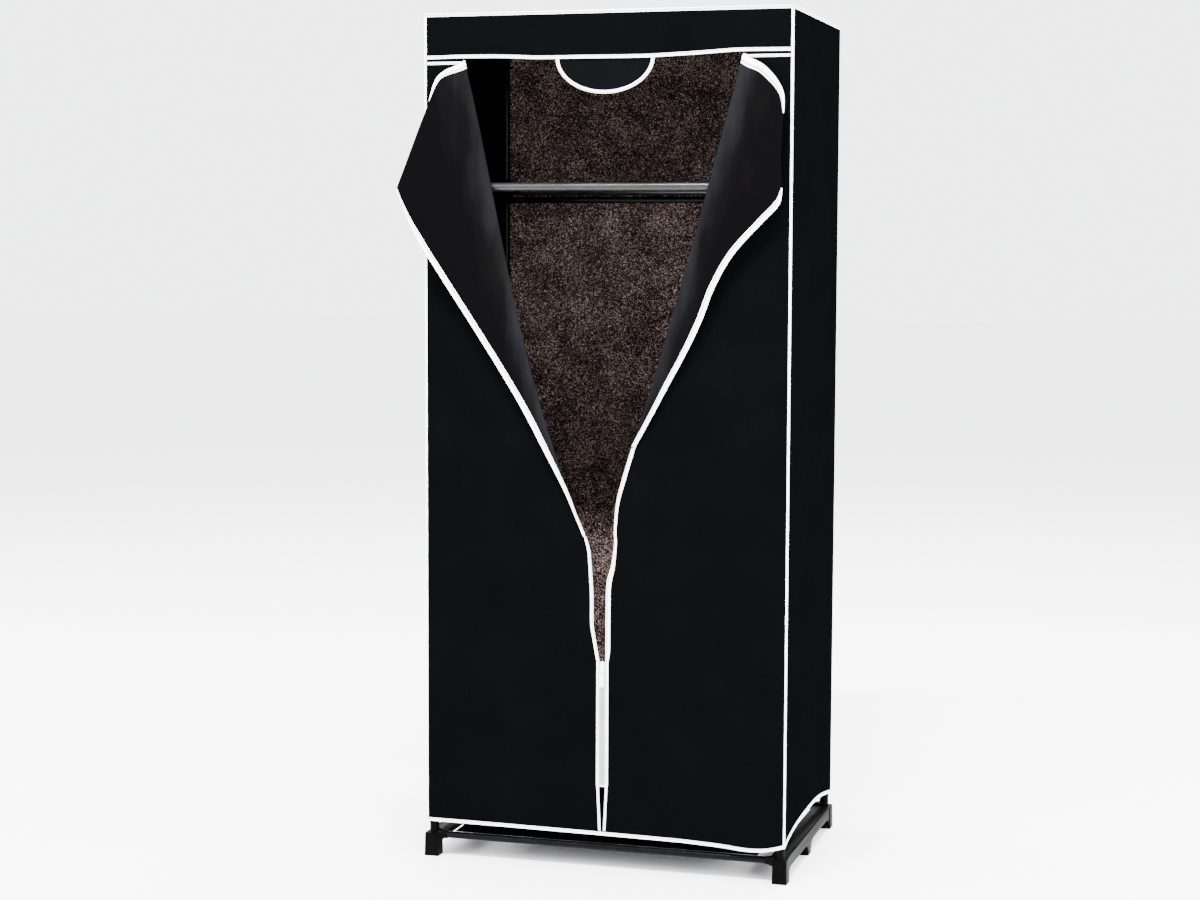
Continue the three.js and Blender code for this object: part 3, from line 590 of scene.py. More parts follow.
# Edges sharper than an angle stay sharp
def angle_smooth(piece, degrees):
    mesh = bmesh.new()
    mesh.from_mesh(piece.data)
    limit = math.radians(degrees)
    for edge in mesh.edges:
        edge.smooth = len(edge.link_faces) == 2 and edge.calc_face_angle(0) < limit
    mesh.to_mesh(piece.data)
    mesh.free()


# A copy of a CAD piece with its edges rounded
def rounded_copy(node, look, width, body=BODY):
    source = frame["nodes"][node]
    mesh = source.data.copy()
    work = bmesh.new()
    work.from_mesh(mesh)
    work.transform(source.matrix_world)
    bmesh.ops.remove_doubles(work, verts=work.verts, dist=2e-6)
    bmesh.ops.dissolve_limit(work, angle_limit=math.radians(1), verts=work.verts, edges=work.edges)
    sharp = [e for e in work.edges if len(e.link_faces) == 2 and e.calc_face_angle(0) > math.radians(32)]
    bmesh.ops.bevel(
        work, geom=sharp, offset=width * MM, segments=2, profile=0.6, affect="EDGES", clamp_overlap=True
    )
    work.to_mesh(mesh)
    work.free()
    mesh.materials.clear()
    mesh.materials.append(look)
    mesh.shade_smooth()
    piece = placed(node + "_moulded", mesh)
    angle_smooth(piece, 40)
    return finish_piece(piece, (node,), body)


# Steel tubes, drawn round, with their cut ends turned slightly in and the lower ones swaged at the top
SIDES = 48
TUBE_WALL = 0.8 * MM
TUBE_EASE = 0.3 * MM
SPIGOT_R = 6.9 * MM
SPIGOT_LENGTH = 34 * MM
SPIGOT_TAPER = 4 * MM
TURNS = {X: Matrix.Rotation(math.pi / 2, 4, "Y"), Y: Matrix.Rotation(-math.pi / 2, 4, "X"), Z: Matrix()}


def round_tube(node):
    low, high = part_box(node)
    size = [high[i] - low[i] for i in range(3)]
    axis = size.index(max(size))
    centre = Vector([(low[i] + high[i]) / 2 for i in range(3)])
    radius = min(size) / 2
    length = size[axis]
    bore = radius - TUBE_WALL
    profile = [
        (bore, 0), (radius - TUBE_EASE, 0), (radius, TUBE_EASE), (radius, length - TUBE_EASE),
        (radius - TUBE_EASE, length), (bore, length),
    ]
    if node.startswith("upright_lower"):
        shoulder = length - SPIGOT_LENGTH
        neck = shoulder + SPIGOT_TAPER
        profile[3:] = [
            (radius, shoulder), (SPIGOT_R, neck), (SPIGOT_R, length - TUBE_EASE),
            (SPIGOT_R - TUBE_EASE, length), (SPIGOT_R - TUBE_WALL, length), (SPIGOT_R - TUBE_WALL, neck),
            (bore, shoulder),
        ]
    verts = []
    turn = TURNS[axis]
    for r, z in profile:
        for k in range(SIDES):
            angle = 2 * math.pi * k / SIDES
            point = Vector((r * math.cos(angle), r * math.sin(angle), z - length / 2))
            verts.append(centre + turn @ point)
    faces = []
    count = len(profile)
    for p in range(count):
        q = (p + 1) % count
        for k in range(SIDES):
            n = (k + 1) % SIDES
            faces.append([p * SIDES + k, p * SIDES + n, q * SIDES + n, q * SIDES + k])
    piece = new_object(node + "_tube", verts, faces, black_paint)
    angle_smooth(piece, 35)
    return finish_piece(piece, (node,))


TUBES = (
    "upright_", "bottom_rail", "shelf_rail", "shelf_side_rail", "top_rail", "top_side_rail", "hanging_rail",
)
MOULDED = ("shelf_fitting", "top_fitting", "hanging_bracket")
for node in sorted(frame["nodes"]):
    if node.startswith(TUBES):
        round_tube(node)
    elif node.startswith("side_base"):
        rounded_copy(node, black_plastic, 0.6)
    elif node.startswith(MOULDED):
        rounded_copy(node, black_plastic, 0.4)


# Cover panels, which hang from the top rails
SEAM_TOP = TOP - CLOTH - GAP


def panel(node, grid, look, back_look=None):
    piece = cloth_object(node + "_cloth", grid, look, back_look)
    finish_piece(piece, (node,))


def side_panel(sign, node, seed):
    u, v = grid_uv(46, 130)
    half = HALF_D - CLOTH - GAP
    y = half * (2 * u - 1)
    z = hem_height(y) + (SEAM_TOP - hem_height(y)) * v
    out = hang(u, v, 2 * half, TOP - HEM_Z, seed, 1.1)
    grid = to_world(sign * (HALF_W - CLOTH / 2 + np.maximum(out, FLATTEST)), y, z)
    if sign > 0:
        grid = grid[:, ::-1]
    panel(node, grid, inner_cloth, back_look=cover_cloth)


def back_panel():
    u, v = grid_uv(70, 130)
    tall = SEAM_TOP - HEM_Z
    out = hang(u, v, 2 * HALF_W, tall, 5.0, 2.0)
    y = HALF_D - CLOTH / 2 + np.maximum(out, FLATTEST)
    grid = to_world(HALF_W * (2 * u - 1), y, HEM_Z + tall * v)[:, ::-1]
    panel("cover_back", grid, cover_cloth, back_look=back_felt)


def valance():
    u, v = grid_uv(70, 12)
    x = HALF_W * (2 * u - 1)
    z = valance_foot(x) + (SEAM_TOP - valance_foot(x)) * v
    out = hang(u, v, 2 * HALF_W, TOP - CLOTH - VALANCE_Z, 17.0, 1.0, 0.4)
    grid = to_world(x, -HALF_D + CLOTH / 2 - np.maximum(out, FLATTEST), z)
    panel("cover_valance", grid, cover_cloth)


# The top sags between its rails
SAG = 5.0
SAG_START = 22.0
SAG_SPAN = 120.0


def roof():
    u, v = grid_uv(70, 46)
    ripple = np.clip(hang(u, v, 2 * HALF_W, 2 * HALF_D, 23.0, 1.0, 0.3), -0.4, 0.4)
    from_edge = np.minimum(np.minimum(u, 1 - u) * 2 * HALF_W, np.minimum(v, 1 - v) * 2 * HALF_D)
    z = TOP - CLOTH / 2 + ripple - SAG * smooth_step((from_edge - SAG_START) / SAG_SPAN)
    grid = to_world(HALF_W * (2 * u - 1), HALF_D * (2 * v - 1), z)
    panel("cover_top", grid, cover_cloth, back_look=inner_cloth)


side_panel(1, "cover_right_side", 3.0)
side_panel(-1, "cover_left_side", 11.0)
back_panel()
valance()
roof()


# Doors and folds: the fold in millimetres, curves as shares of the V or the flap, the bending strip in metres
DOORS = {
    "left": {
        "sign": -1, "top": 273.0, "top_lift": 0.0, "foot": (32.5, 632.0), "foot_width": 4.6, "bow": 26.0,
        "corner_rise": 6.0, "bend": (0.027, 0.105),
        "edge": [(0, 0), (0.18, 0.28), (0.3, 0.45), (0.53, 0.47), (0.76, 0.6), (0.89, 0.72), (1, 1)],
        "flap": [
            (1.131, 0.737, 1), (1.033, 0.645, 0.93), (0.889, 0.553, 0.82), (0.737, 0.461, 0.72),
            (0.586, 0.368, 0.63), (0.445, 0.276, 0.53), (0.322, 0.184, 0.42), (0.203, 0.092, 0.28),
        ],
        "rim": [(0.907, 0.978, 0.47), (0.96, 0.913, 0.75), (1.015, 0.856, 0.87), (1.071, 0.797, 0.96)],
    },
    "right": {
        "sign": 1, "top": 263.0, "top_lift": 3.0, "foot": (55.0, 800.0), "foot_width": 6.9, "bow": 8.0,
        "corner_rise": 9.0, "bend": (0.010, 0.080),
        "edge": [
            (0, 0), (0.25, 0.01), (0.37, 0.04), (0.45, 0.21), (0.55, 0.33), (0.62, 0.32), (0.74, 0.4),
            (0.85, 0.62), (1, 1),
        ],
        "flap": [
            (0.971, 0.675, 1), (0.957, 0.636, 0.97), (0.871, 0.59, 0.92), (0.714, 0.506, 0.82),
            (0.614, 0.422, 0.72), (0.546, 0.337, 0.62), (0.463, 0.253, 0.51), (0.368, 0.169, 0.4),
            (0.274, 0.084, 0.28),
        ],
        "rim": [(0.868, 0.983, 0.42), (0.963, 0.92, 0.69), (0.968, 0.843, 0.88), (0.962, 0.76, 0.97)],
    },
}
FOLD_POWER = 1.6
RIM_POWER = 3


# The curve through points that the CAD part uses: Catmull-Rom, centripetal
def curve_point(points, t):
    points = [Vector(p) for p in points]
    place = (len(points) - 1) * t
    k = min(int(place), len(points) - 2)
    w = place - k
    p1, p2 = points[k], points[k + 1]
    p0 = points[k - 1] if k > 0 else 2 * points[0] - points[1]
    p3 = points[k + 2] if k + 2 < len(points) else 2 * points[-1] - points[-2]
    d0, d1, d2 = (p1 - p0).length ** 0.5, (p2 - p1).length ** 0.5, (p3 - p2).length ** 0.5
    t1 = ((p1 - p0) / d0 - (p2 - p0) / (d0 + d1) + (p2 - p1) / d1) * d1
    t2 = ((p2 - p1) / d1 - (p3 - p1) / (d1 + d2) + (p3 - p2) / d2) * d1
    return p1 + t1 * w + (-3 * p1 + 3 * p2 - 2 * t1 - t2) * w**2 + (2 * p1 - 2 * p2 + t1 + t2) * w**3


# The same for a plain spline in a plane
def spline_point(points, t):
    points = [Vector(p) for p in points]
    place = (len(points) - 1) * t
    k = min(int(place), len(points) - 2)
    w = place - k
    p0 = points[max(k - 1, 0)]
    p1 = points[k]
    p2 = points[k + 1]
    p3 = points[min(k + 2, len(points) - 1)]
    v0, v1 = (p2 - p0) / 2, (p3 - p1) / 2
    return (2 * p1 - 2 * p2 + v0 + v1) * w**3 + (-3 * p1 + 3 * p2 - 2 * v0 - v1) * w**2 + v0 * w + p1


def fold_point(door, share):
    foot_x, foot_z = door["foot"]
    place = share**FOLD_POWER
    bow = 4 * door["bow"] * place * (1 - place)
    return door["top"] + share * (foot_x - door["top"]) + bow, FOLD_TOP_Z + share * (foot_z - FOLD_TOP_Z)


# The edge of a door over the zip, from the slider to the foot of the fold
def open_edge(door, steps):
    foot_x, foot_z = door["foot"]
    wide = foot_x - CLOSED
    tall = foot_z - SLIDER_TOP
    curve = [(CLOSED + out * wide, SLIDER_TOP + up * tall) for up, out in door["edge"]]
    return [tuple(spline_point(curve, share)) for share in spaced(0, 1, steps)]


# Heights, and the inner edge of a door's cloth at each of them
def cloth_edge(door):
    line = [(SLIT_FOOT, 0), (SLIT_FOOT, HEM_Z), (SLIT_TOP, ZIP_STOP - EDGE_W), (CLOSED, ZIP_STOP)]
    line += open_edge(door, 24)
    line += [fold_point(door, share) for share in spaced(1, 0, 24)[1:]]
    line.append((door["top"], DOOR_TOP))
    x, z = np.array(line).T
    return z, x + CLOTH


# A door's folds, its dents, where they fade out, its drape, and the ripples beside the zip
DOOR_FOLD_SCALE = (0.010, 0.0018)
DOOR_DENT_SCALE = (0.03, 0.012)
FOLD_DEPTH = 3.6
DENT_DEPTH = 1.2
ZIP_FADE = 25.0
TOP_FADE = 30.0
DRAPE_DEPTH = 1.6
DRAPE_RAYS = 7
DRAPE_AWAY = 90.0
DRAPE_WIDTH = 120.0
RIPPLE_DEPTH = 0.5
RIPPLE_PITCH = 21.0
RIPPLE_REACH = 12.0


def build_door(side, seed):
    door = DOORS[side]
    edge_z, edge_x = cloth_edge(door)
    u, v = grid_uv(56, 170)
    tall = DOOR_TOP - HEM_Z
    inner = np.interp(HEM_Z + tall * v, edge_z, edge_x)
    x = inner + (HALF_W - inner) * u
    # The lower edge follows the hem, and the upper edge reaches up to the valance
    lower = front_hem(door["sign"] * x)
    upper = valance_foot(door["sign"] * x) - 2 * GAP
    z = lower + (upper - lower) * v
    from_zip = u * (HALF_W - inner)
    from_corner = (1 - u) * (HALF_W - inner)
    ease = smooth_step(from_zip / ZIP_FADE) * smooth_step(from_corner / SEAM_FADE)
    ease = ease * smooth_step(v * tall / SEAM_FADE) * smooth_step((1 - v) * tall / TOP_FADE)
    folds = FOLD_DEPTH * wander(x, z, seed, *DOOR_FOLD_SCALE)
    dents = DENT_DEPTH * wander(x, z, seed + 4.0, *DOOR_DENT_SCALE)
    # Folds that run from the foot of the V out to the side, where the cloth hangs from it
    foot_x, foot_z = door["foot"]
    angle = np.arctan2(z - foot_z, x - foot_x)
    away = np.hypot(z - foot_z, x - foot_x)
    reach_of_drape = np.exp(-((away - DRAPE_AWAY) / DRAPE_WIDTH) ** 2)
    drape = DRAPE_DEPTH * np.sin(angle * DRAPE_RAYS + seed) * reach_of_drape
    ripple = RIPPLE_DEPTH * np.sin(z * 2 * np.pi / RIPPLE_PITCH + seed) * np.exp(-from_zip / RIPPLE_REACH)
    out = ease * (folds + dents + drape) + ripple * smooth_step(from_zip / SEAM_EASE)
    grid = to_world(door["sign"] * x, -HALF_D + CLOTH / 2 - np.maximum(out, FLATTEST), z)
    if side == "left":
        grid = grid[:, ::-1]
    panel("door_" + side, grid, cover_cloth, back_look=inner_cloth)


build_door("left", 31.0)
build_door("right", 37.0)


# The flap's surface: u from the fold to the free edge, v from its top edge to the foot of the fold
ROLL_SHARE = 0.12
ROLL_COLUMNS = 0.25
ROLL_R = 3.2
ROLL_WIDTH = 60.0
FOOT_SHARE = 0.1
FOLD_Y = -HALF_D - GAP - CLOTH


def flap_frame(side):
    door = DOORS[side]
    sign = door["sign"]
    foot_x, foot_z = door["foot"]
    rise = FOLD_TOP_Z - foot_z

    def from_shares(share):
        wide, up, off = share
        return Vector((sign * wide * HALF_W, -HALF_D - off * STAND_OFF, foot_z + up * rise))

    edge = [from_shares(s) for s in door["flap"]]
    edge.append(Vector((sign * (foot_x + door["foot_width"]), FOLD_Y - FOOT_SHARE * STAND_OFF, foot_z)))
    top = Vector((sign * door["top"], FOLD_Y, FOLD_TOP_Z + door["corner_rise"]))
    rim = [top] + [from_shares(s) for s in door["rim"]] + [edge[0]]
    return door, edge, rim


# The flap without the pull of its top edge
def plain_flap_point(parts, u, v):
    door, edge, _ = parts
    x, z = fold_point(door, v)
    fold = Vector((door["sign"] * x, FOLD_Y, z))
    free = curve_point(edge, v)
    middle = (fold + free) / 2
    middle.y = free.y
    return fold, fold * (1 - u) ** 2 + middle * (2 * u * (1 - u)) + free * u**2


def flap_point(parts, u, v):
    door, _, rim = parts
    fold, free = plain_flap_point(parts, 1, v)
    roll = ROLL_R * min(1.0, (free - fold).length / ROLL_WIDTH)
    if u < ROLL_SHARE:
        angle = math.pi * u / ROLL_SHARE
        fold = fold + Vector((0, 0, door["corner_rise"])) * (1 - v) ** RIM_POWER
        return fold + Vector((-door["sign"] * roll * math.sin(angle), roll * (math.cos(angle) - 1) * 0.9, 0))
    w = (u - ROLL_SHARE) / (1 - ROLL_SHARE)
    pull = curve_point(rim, w) - plain_flap_point(parts, w, 0)[1]
    flat = plain_flap_point(parts, w, v)[1] + pull * (1 - v) ** RIM_POWER
    return flat + Vector((0, -1.8 * roll * (1 - w) ** 4, 0))


# The same with the softness of the cloth, which fades out at the fold, the free edge and the foot
SOFT_DEPTH = 2.4
FINE_DEPTH = 0.5
ROLL_EASE = 0.3
EDGE_EASE = 0.12
FOOT_EASE = 0.25


def soft_point(parts, u, v, seed):
    p = flap_point(parts, u, v)
    soft = noise.noise(Vector((p.x * 0.012, p.z * 0.006, seed)))
    fine = noise.noise(Vector((p.x * 0.04, p.z * 0.03, seed + 3)))
    window = float(smooth_step((u - ROLL_SHARE) / ROLL_EASE) * smooth_step((1 - u) / EDGE_EASE))
    p.y -= window * (SOFT_DEPTH * soft + FINE_DEPTH * fine) * min(1.0, (1 - v) / FOOT_EASE)
    return p


# Rows lie closer together in the lower part, where the flap bends most
def row_places(rows):
    return np.interp(spaced(0, 1, rows), [0, 0.42, 1], [0, 0.6, 1]).tolist()


HINGES = {j["child"]: j for j in frame["joints"] if j["child"].startswith("flap")}


# Bakes the piece's placement into its mesh; the flap's hinge and the direction away from it are worked out,
# but nothing uses them
def bend_with_flap(piece, side):
    joint = HINGES["flap_" + side]
    axis = Vector(joint["axis"]).normalized()
    sign = DOORS[side]["sign"]
    away = Vector((sign, 0, 0)) - axis * (axis.x * sign)
    away.y = 0
    away.normalize()
    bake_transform(piece)


# Tape widths along an edge as (place, share of the full width), narrow where the tape turns edge-on
FREE_WIDTHS = {
    "left": [(0, 0.25), (0.05, 0.4), (0.14, 1), (0.7, 1), (0.78, 0.85), (0.87, 0.6), (0.93, 0.42), (1, 0.42)],
    "right": [(0, 0.2), (0.04, 0.45), (0.12, 1), (0.6, 1), (0.8, 0.85), (1, 0.65)],
}
RIM_WIDTHS = {
    "left": [(0, 1.5), (0.25, 1.35), (0.55, 0.95), (0.8, 0.5), (1, 0.1)],
    "right": [(0, 1.55), (0.3, 1.6), (0.6, 1.35), (0.8, 0.8), (0.92, 0.4), (1, 0.12)],
}
ZIP_WIDTHS = {
    "left": [(0, 0.78), (0.1, 0.83), (0.65, 0.83), (0.89, 0.72), (1, 0.62)],
    "right": [
        (0, 0.78), (0.04, 1.25), (0.4, 1.25), (0.5, 0.8), (0.58, 0.62), (0.7, 0.72), (0.85, 1.0), (1, 0.93),
    ],
}
# How far a top tape is lifted at the fold, and where along the top edge it ends
RIM_LIFT = {"left": 4.0, "right": 3.5}
RIM_END = {"left": 0.44, "right": 0.6}


def width_share(table, place):
    return float(np.interp(place, *zip(*table)))


# White tape along an edge of a flap: two functions give the edge and a place just inside it
TAPE_INSET = 5.0


def edge_tape(name, parts, places, on_edge, inside, widths, seed, lift=0.0):
    side = name.rsplit("_", 1)[1]
    edge = [at(*soft_point(parts, *on_edge(w), seed)) for w in places]
    path = []
    for k, (w, here) in enumerate(zip(places, edge)):
        inner = at(*soft_point(parts, *inside(w), seed))
        along = (edge[min(k + 1, len(edge) - 1)] - edge[max(k - 1, 0)]).normalized()
        across = (here - inner).normalized()
        across = (across - along * across.dot(along)).normalized()
        out = along.cross(across).normalized()
        if out.y > 0:
            out = -out
        share = width_share(widths, w)
        raised = lift * float(1 - smooth_step(3 * w))
        inset = (TAPE_INSET * share - raised) * MM
        middle = here - across * inset + out * (WAVE * MM * math.sin(k * 1.3 + seed))
        path.append((middle, across * share, out))
    tape = sweep(name, path, tape_profile(FLAP_TAPE_W, EDGE_TAPE, True))
    bend_with_flap(tape, side)
    return tape


# The cloth ends inside its tape, and a flap's area is at least this share of its flat size
CLOTH_END = 0.985
LEAST_AREA = 0.31


def build_flap(side, seed):
    parts = flap_frame(side)
    columns = 48
    rows = 170
    places = row_places(rows)
    shares = np.interp(spaced(0, 1, columns), [0, ROLL_COLUMNS, 1], [0, ROLL_SHARE, 1]).tolist()
    grid = np.zeros((rows + 1, columns + 1, 3))
    for row, v in enumerate(places):
        for column, u in enumerate(shares):
            grid[row, column] = at(*soft_point(parts, u * CLOTH_END, v, seed))
    looks = (lining_cloth, cover_cloth) if side == "left" else (cover_cloth, lining_cloth)
    piece = cloth_object("flap_" + side + "_cloth", grid, *looks)
    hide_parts("flap_" + side)
    area = 0.0
    for row in range(rows):
        width = np.linalg.norm(grid[row, -1] - grid[row, 0])
        area += width * abs(grid[row, 0, 2] - grid[row + 1, 0, 2])
    flat = (0.32, (FOLD_TOP_Z - DOORS[side]["foot"][1]) * MM)
    area = max(area, LEAST_AREA * flat[0] * flat[1])
    bend_with_flap(piece, side)

    edge = edge_tape(
        "flap_edge_" + side, parts, places, lambda w: (1.0, w), lambda w: (0.96, w), FREE_WIDTHS[side], seed,
    )
    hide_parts("flap_binding_" + side)
    end = RIM_END[side]
    edge_tape(
        "flap_top_tape_" + side, parts, spaced(0, 1, 60), lambda w: (w * end, 0),
        lambda w: (w * end, 0.03), RIM_WIDTHS[side], seed, RIM_LIFT[side],
    )


build_flap("left", 41.0)
build_flap("right", 47.0)


# Zip edges of the doors: tape widths at the slit and at the chain, and a short end under the flap's tape
SLIT_SHARE = 0.62
CHAIN_SHARE = 0.78
END_OUT = 1.3
END_UP = 3.0
END_LIFT = 1.1
END_STEPS = 3


def build_zip_edge(side):
    door = DOORS[side]
    sign = door["sign"]
    start = HEM_Z + HEM_W + GAP
    stop = ZIP_STOP - EDGE_W
    foot_x, foot_z = door["foot"]
    line = list(zip(spaced(SLIT_FOOT, SLIT_TOP, 12), spaced(start, stop, 12)))
    line += list(zip(spaced(SLIT_TOP, CLOSED, 5), spaced(stop, ZIP_STOP, 5)))[1:]
    line += [(CLOSED, z) for z in spaced(ZIP_STOP, SLIDER_TOP, 30)[1:-1]]
    line += open_edge(door, 48)
    line += [(foot_x + END_OUT * k, foot_z + END_UP * k) for k in range(1, END_STEPS + 1)]
    path = []
    for k, (x, z) in enumerate(line):
        x0, z0 = line[max(k - 1, 0)]
        x1, z1 = line[min(k + 1, len(line) - 1)]
        along = Vector((sign * (x1 - x0), 0, z1 - z0)).normalized()
        across = Vector((sign * along.z, 0, -sign * along.x))
        share = float(np.interp(z, [stop, ZIP_STOP], [SLIT_SHARE, CHAIN_SHARE]))
        if z > SLIDER_TOP:
            share = width_share(ZIP_WIDTHS[side], (z - SLIDER_TOP) / (foot_z - SLIDER_TOP))
        lift = END_LIFT * max(0, k - len(line) + END_STEPS + 1)
        middle = Vector((sign * x, -HALF_D - GAP - lift, z)) + across * (EDGE_W / 2 * share)
        path.append((at(*middle), across * share, Vector((0, -1, 0))))
    binding("zip_edge_" + side + "_tape", path, tape_profile(EDGE_W, EDGE_TAPE), ("zip_edge_" + side,))


build_zip_edge("left")
build_zip_edge("right")


# Tapes across the front, from one x to another at the height that a function gives
def front_tape(name, start, end, height, up, width, steps, nodes=()):
    path = []
    for k, x in enumerate(spaced(start, end, steps)):
        y = -HALF_D - GAP - WAVE * math.sin(k * 1.7)
        path.append((at(x, y, float(height(x))), Vector((0, 0, up)), Vector((0, -1, 0))))
    binding(name, path, tape_profile(width), nodes)


def front_tapes():
    corner = HALF_W - CORNER_W
    front_tape(
        "valance_tape", -corner, corner, lambda x: valance_foot(x) + VALANCE_W / 2, -1, VALANCE_W, 60,
        ("valance_binding",),
    )
    for side, door in DOORS.items():
        tape_z = DOOR_TOP + door["top_lift"] - DOOR_TAPE_W / 2
        ends = (door["sign"] * corner, door["sign"] * door["top"])
        front_tape("door_top_tape_" + side, *ends, lambda x: tape_z, 1, DOOR_TAPE_W, 16)


front_tapes()


# Corner, hem and top tapes, folded round an edge: each row is (side, out, across)
def corner_tape(sign, node):
    w = CORNER_W
    outline = [
        (-w, 0.3, 1.0), (-w + 0.4, 1.3, 0.95), (-w + 1.2, 1.5, 0.85), (0.4, 1.5, 0.55), (1.2, 1.2, 0.5),
        (1.5, 0.4, 0.45), (1.5, -w + 1.2, 0.12), (1.3, -w + 0.4, 0.05), (0.3, -w, 0.0), (0.3, 0.3, 0.5),
    ]
    steps = 150
    path = []
    for k, z in enumerate(spaced(HEM_Z + HEM_W - 1, FULL_TOP - TOP_W - GAP, steps)):
        swell = 0.58 + 0.22 * k / steps + 0.03 * math.sin(k * 1.1)
        path.append((at(sign * HALF_W, -HALF_D, z), Vector((sign * swell, 0, 0)), Vector((0, -swell, 0))))
    binding(node + "_tape", path, outline, (node,))


corner_tape(-1, "corner_binding_left")
corner_tape(1, "corner_binding_right")


# The rectangle round the cover, as points with their outward directions, mitred at the corners
def rectangle(steps_w=70, steps_d=46):
    points = []
    for sign in (-1, 1):
        for k in range(steps_w):
            x = -sign * HALF_W * (2 * k / steps_w - 1)
            points.append((x, sign * HALF_D, (0 if k else sign, sign)))
        for k in range(steps_d):
            y = -sign * HALF_D * (2 * k / steps_d - 1)
            points.append((-sign * HALF_W, y, (-sign, 0 if k else sign)))
    return points


def ring_tapes():
    hem = []
    top = []
    for x, y, out in rectangle():
        z = HEM_Z
        if abs(x) >= HALF_W - 0.01:
            z = hem_height(np.array(y))
        elif y < 0:
            z = front_hem(x)
        outward = Vector((*out, 0))
        middle = at(x + out[0] * GAP, y + out[1] * GAP, float(z) + HEM_W / 2)
        hem.append((middle, Vector((0, 0, -1)), outward))
        top.append((at(x, y, FULL_TOP), outward, Vector((0, 0, 1))))
    binding("hem_tape", hem, tape_profile(HEM_W), ("hem_binding",), closed=True)
    w = TOP_W
    outline = [
        (0.3, -w, 0.0), (1.2, -w, 0.04), (1.5, -w + 0.8, 0.1), (1.5, -1.3, 0.45), (1.2, -0.5, 0.5),
        (0.5, 0, 0.53), (-w + 1, 0, 0.9), (-w + 0.2, -0.3, 0.96), (-w, -1.0, 1.0), (0.3, -1.2, 0.5),
    ]
    binding("top_tape", top, outline, ("top_binding",), closed=True)


ring_tapes()


# Half-moon flap behind the valance, and its tape
MOON_TUCK = 11.0
MOON_BULGE = 1.5


def half_moon():
    u, v = grid_uv(40, 24)
    angle = np.pi * (1 + u)
    size = 0.02 + 0.98 * v
    x = MOON_W * np.cos(angle) * size
    z = VALANCE_Z + MOON_TUCK * (1 - v) + MOON_H * np.sin(angle) * size
    y = -HALF_D + 2 * CLOTH + GAP + np.abs(MOON_BULGE * wander(x, z, 61.0, 0.03, 0.03))
    piece = cloth_object("half_moon_cloth", to_world(x, y, z), moon_cloth)
    finish_piece(piece, ("half_moon_flap",))
    path = []
    for angle in spaced(math.pi, 2 * math.pi, 70):
        x = math.cos(angle)
        z = math.sin(angle)
        normal = Vector((x * MOON_H, 0, z * MOON_W)).normalized()
        edge = at(MOON_W * x, -HALF_D + CLOTH, VALANCE_Z - GAP + MOON_H * z)
        path.append((edge - normal * (MOON_RIM / 2 * MM), -normal, Vector((0, -1, 0))))
    binding("half_moon_tape", path, tape_profile(MOON_RIM), ("half_moon_binding",))


half_moon()


# Shelf cloth: once round the front and the back rail, with a slight sag between
SLACK = 0.7
SLING_R = RAIL_R + GAP + SLACK
SLING_TURN = 330
SLING_SAG = 3.0
SAG_POWER = 0.8
CREASE = 0.5


def shelf():
    wrap = []
    for turn in spaced(90, 90 - SLING_TURN, 32):
        angle = math.radians(turn)
        wrap.append((UP_Y + SLING_R * math.cos(angle), SLING_R * math.sin(angle)))
    between = []
    for share in spaced(0, 1, 26)[1:-1]:
        sag = SLING_SAG * math.sin(math.pi * share) ** SAG_POWER
        between.append((UP_Y * (2 * share - 1), SLING_R - sag))
    profile = [(-y, z) for y, z in reversed(wrap)] + between + wrap
    across = spaced(-SHELF_HALF_W, SHELF_HALF_W, 120)
    grid = np.zeros((len(profile), len(across), 3))
    for row, (y, z) in enumerate(profile):
        for column, x in enumerate(across):
            crease = CREASE * noise.noise(Vector((x * 0.004, row * 0.55, 71.0)))
            grid[row, column] = at(x, y, SHELF_Z + z + crease)
    piece = cloth_object("shelf_sling", grid, grey_shelf)
    finish_piece(piece, ("shelf_cloth",))


# Floor panel, on the bottom rails
def floor_panel():
    u, v = grid_uv(60, 40)
    out = hang(u, v, 2 * FLOOR_HALF_W, 2 * UP_Y, 73.0, 1.2, 0.2) * 0.3
    grid = to_world(FLOOR_HALF_W * (2 * u - 1), UP_Y * (2 * v - 1), BOTTOM_Z + SLING_R + out)
    piece = cloth_object("floor_cloth", grid, inner_cloth)
    finish_piece(piece, ("floor_panel",))


shelf()
floor_panel()


# Zip: teeth that mesh on their tapes, the slider and its pull
CHAIN_TAPE = 0.8 * MM
PITCH = 1.55 * MM
TOOTH_H = 1.1 * MM
TOOTH_BACK = 0.9 * MM
TOOTH_TIP = 2.6 * MM


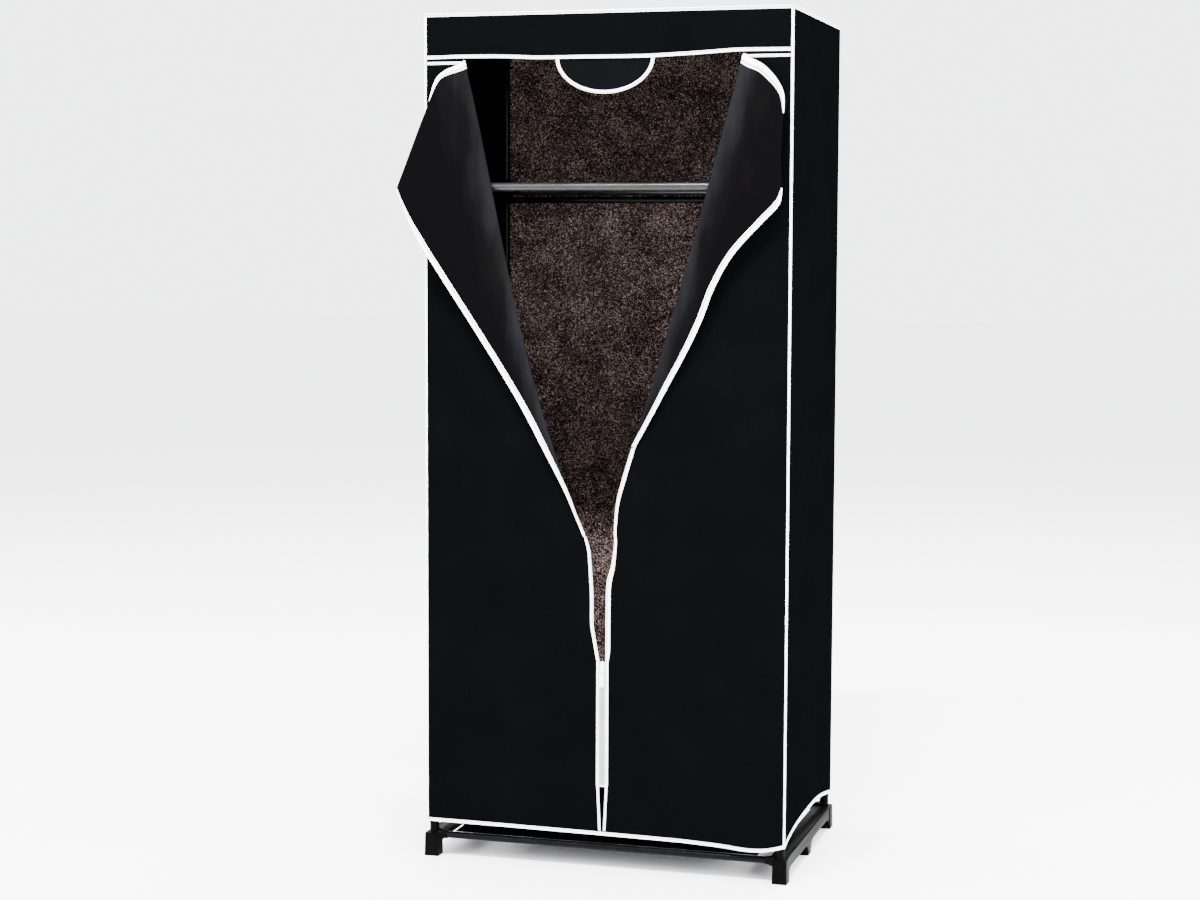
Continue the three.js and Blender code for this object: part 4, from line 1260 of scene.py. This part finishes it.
def zip_chain():
    low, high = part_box("zip_chain")
    middle = (low[X] + high[X]) / 2
    mesh = bmesh.new()

    def block(x0, x1, y0, y1, z0, z1, ease):
        made = bmesh.ops.create_cube(mesh, size=1)
        size = Vector((x1 - x0, y1 - y0, z1 - z0))
        place = Vector(((x0 + x1) / 2, (y0 + y1) / 2, (z0 + z1) / 2))
        bmesh.ops.scale(mesh, vec=size, verts=made["verts"])
        bmesh.ops.translate(mesh, vec=place, verts=made["verts"])
        edges = list({e for v in made["verts"] for e in v.link_edges})
        bmesh.ops.bevel(
            mesh, geom=edges, offset=ease, segments=2, profile=0.5, affect="EDGES", clamp_overlap=True
        )

    tape_front = high[Y] - CHAIN_TAPE
    block(low[X], high[X], tape_front, high[Y], low[Z], high[Z], 0.1 * MM)
    for k in range(int((high[Z] - low[Z]) / PITCH)):
        z = low[Z] + (k + 0.5) * PITCH
        sign = 1 if k % 2 else -1
        x0, x1 = sorted((middle - sign * TOOTH_BACK, middle + sign * TOOTH_TIP))
        block(x0, x1, low[Y], tape_front, z - TOOTH_H / 2, z + TOOTH_H / 2, 0.25 * MM)
    data = bpy.data.meshes.new("zip_teeth")
    mesh.to_mesh(data)
    mesh.free()
    data.materials.append(chain_plastic)
    data.shade_smooth()
    piece = placed("zip_teeth", data)
    angle_smooth(piece, 50)
    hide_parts("zip_chain")
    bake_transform(piece)


zip_chain()
rounded_copy("zip_slider", white_plastic, 0.35, "zip_slider")
rounded_copy("pull_tab", white_plastic, 0.35, "pull_tab")


# Pale ground and sky, and the lamps as (name, place, target, size, watts)
GROUND = 60.0
LAMPS = (
    ("key", (-2.2, -3.2, 3.0), (0, 0, 0.9), (2.2, 2.2), 170),
    ("fill", (2.8, -2.6, 1.6), (0, 0, 0.8), (2.0, 2.0), 170),
    ("side_right", (4.4, 0.6, 2.6), (0, 0, 0.8), (2.0, 2.0), 420),
    ("side_left", (-4.4, 0.6, 2.6), (0, 0, 0.8), (2.0, 2.0), 420),
    ("back", (0.8, 3.2, 4.4), (0, 0, 0.8), (2.0, 2.0), 520),
    ("strip", (0.3, -2.4, 4.6), (0, 0, 0.9), (2.6, 0.12), 1150),
)


def ground_and_sky():
    bpy.ops.mesh.primitive_plane_add(size=GROUND, location=(0, 0, 0))
    floor = bpy.context.object
    floor.name = "floor"
    t = Tree("pale_floor")
    cloudy = t.noise(t.place(), 2.0, 2)
    color = t.ramp(cloudy, [(0, grey(0.90)), (1, grey(0.93))])
    floor.data.materials.append(t.finish(color, 0.6))
    world = bpy.data.worlds.new("studio")
    bpy.context.scene.world = world
    world.use_nodes = True
    back = world.node_tree.nodes["Background"]
    back.inputs["Color"].default_value = (0.93, 0.94, 0.96, 1)
    back.inputs["Strength"].default_value = 4.6


def lamps():
    for name, place, target, size, power in LAMPS:
        data = bpy.data.lights.new(name, "AREA")
        data.shape = "RECTANGLE"
        data.size, data.size_y = size
        data.energy = power
        lamp = placed(name, data)
        lamp.location = place
        direction = Vector(target) - Vector(place)
        lamp.rotation_euler = direction.to_track_quat("-Z", "Y").to_euler()


# The camera that took the photograph: angles in radians, its place in metres, its focal length in pixels
YAW = -0.28715
PITCH_DOWN = 0.09087
ROLL = 0.00363
EYE = Vector((1.19978, -4.30926, 1.18186))
FOCAL = 2306.83
PHOTO_W = 1200
SENSOR = 36


def camera():
    level = math.cos(PITCH_DOWN)
    forward = Vector((math.sin(YAW) * level, math.cos(YAW) * level, -math.sin(PITCH_DOWN)))
    right = Vector((math.cos(YAW), -math.sin(YAW), 0))
    up = right.cross(forward)
    turned_right = math.cos(ROLL) * right + math.sin(ROLL) * up
    turned_up = -math.sin(ROLL) * right + math.cos(ROLL) * up
    data = bpy.data.cameras.new("camera")
    data.sensor_width = SENSOR
    data.sensor_fit = "HORIZONTAL"
    data.lens = FOCAL / PHOTO_W * SENSOR
    eye = placed("camera", data)
    matrix = Matrix((turned_right, turned_up, -forward)).transposed().to_4x4()
    matrix.translation = CENTRE + EYE
    eye.matrix_world = matrix
    bpy.context.scene.camera = eye


ground_and_sky()
lamps()
camera()
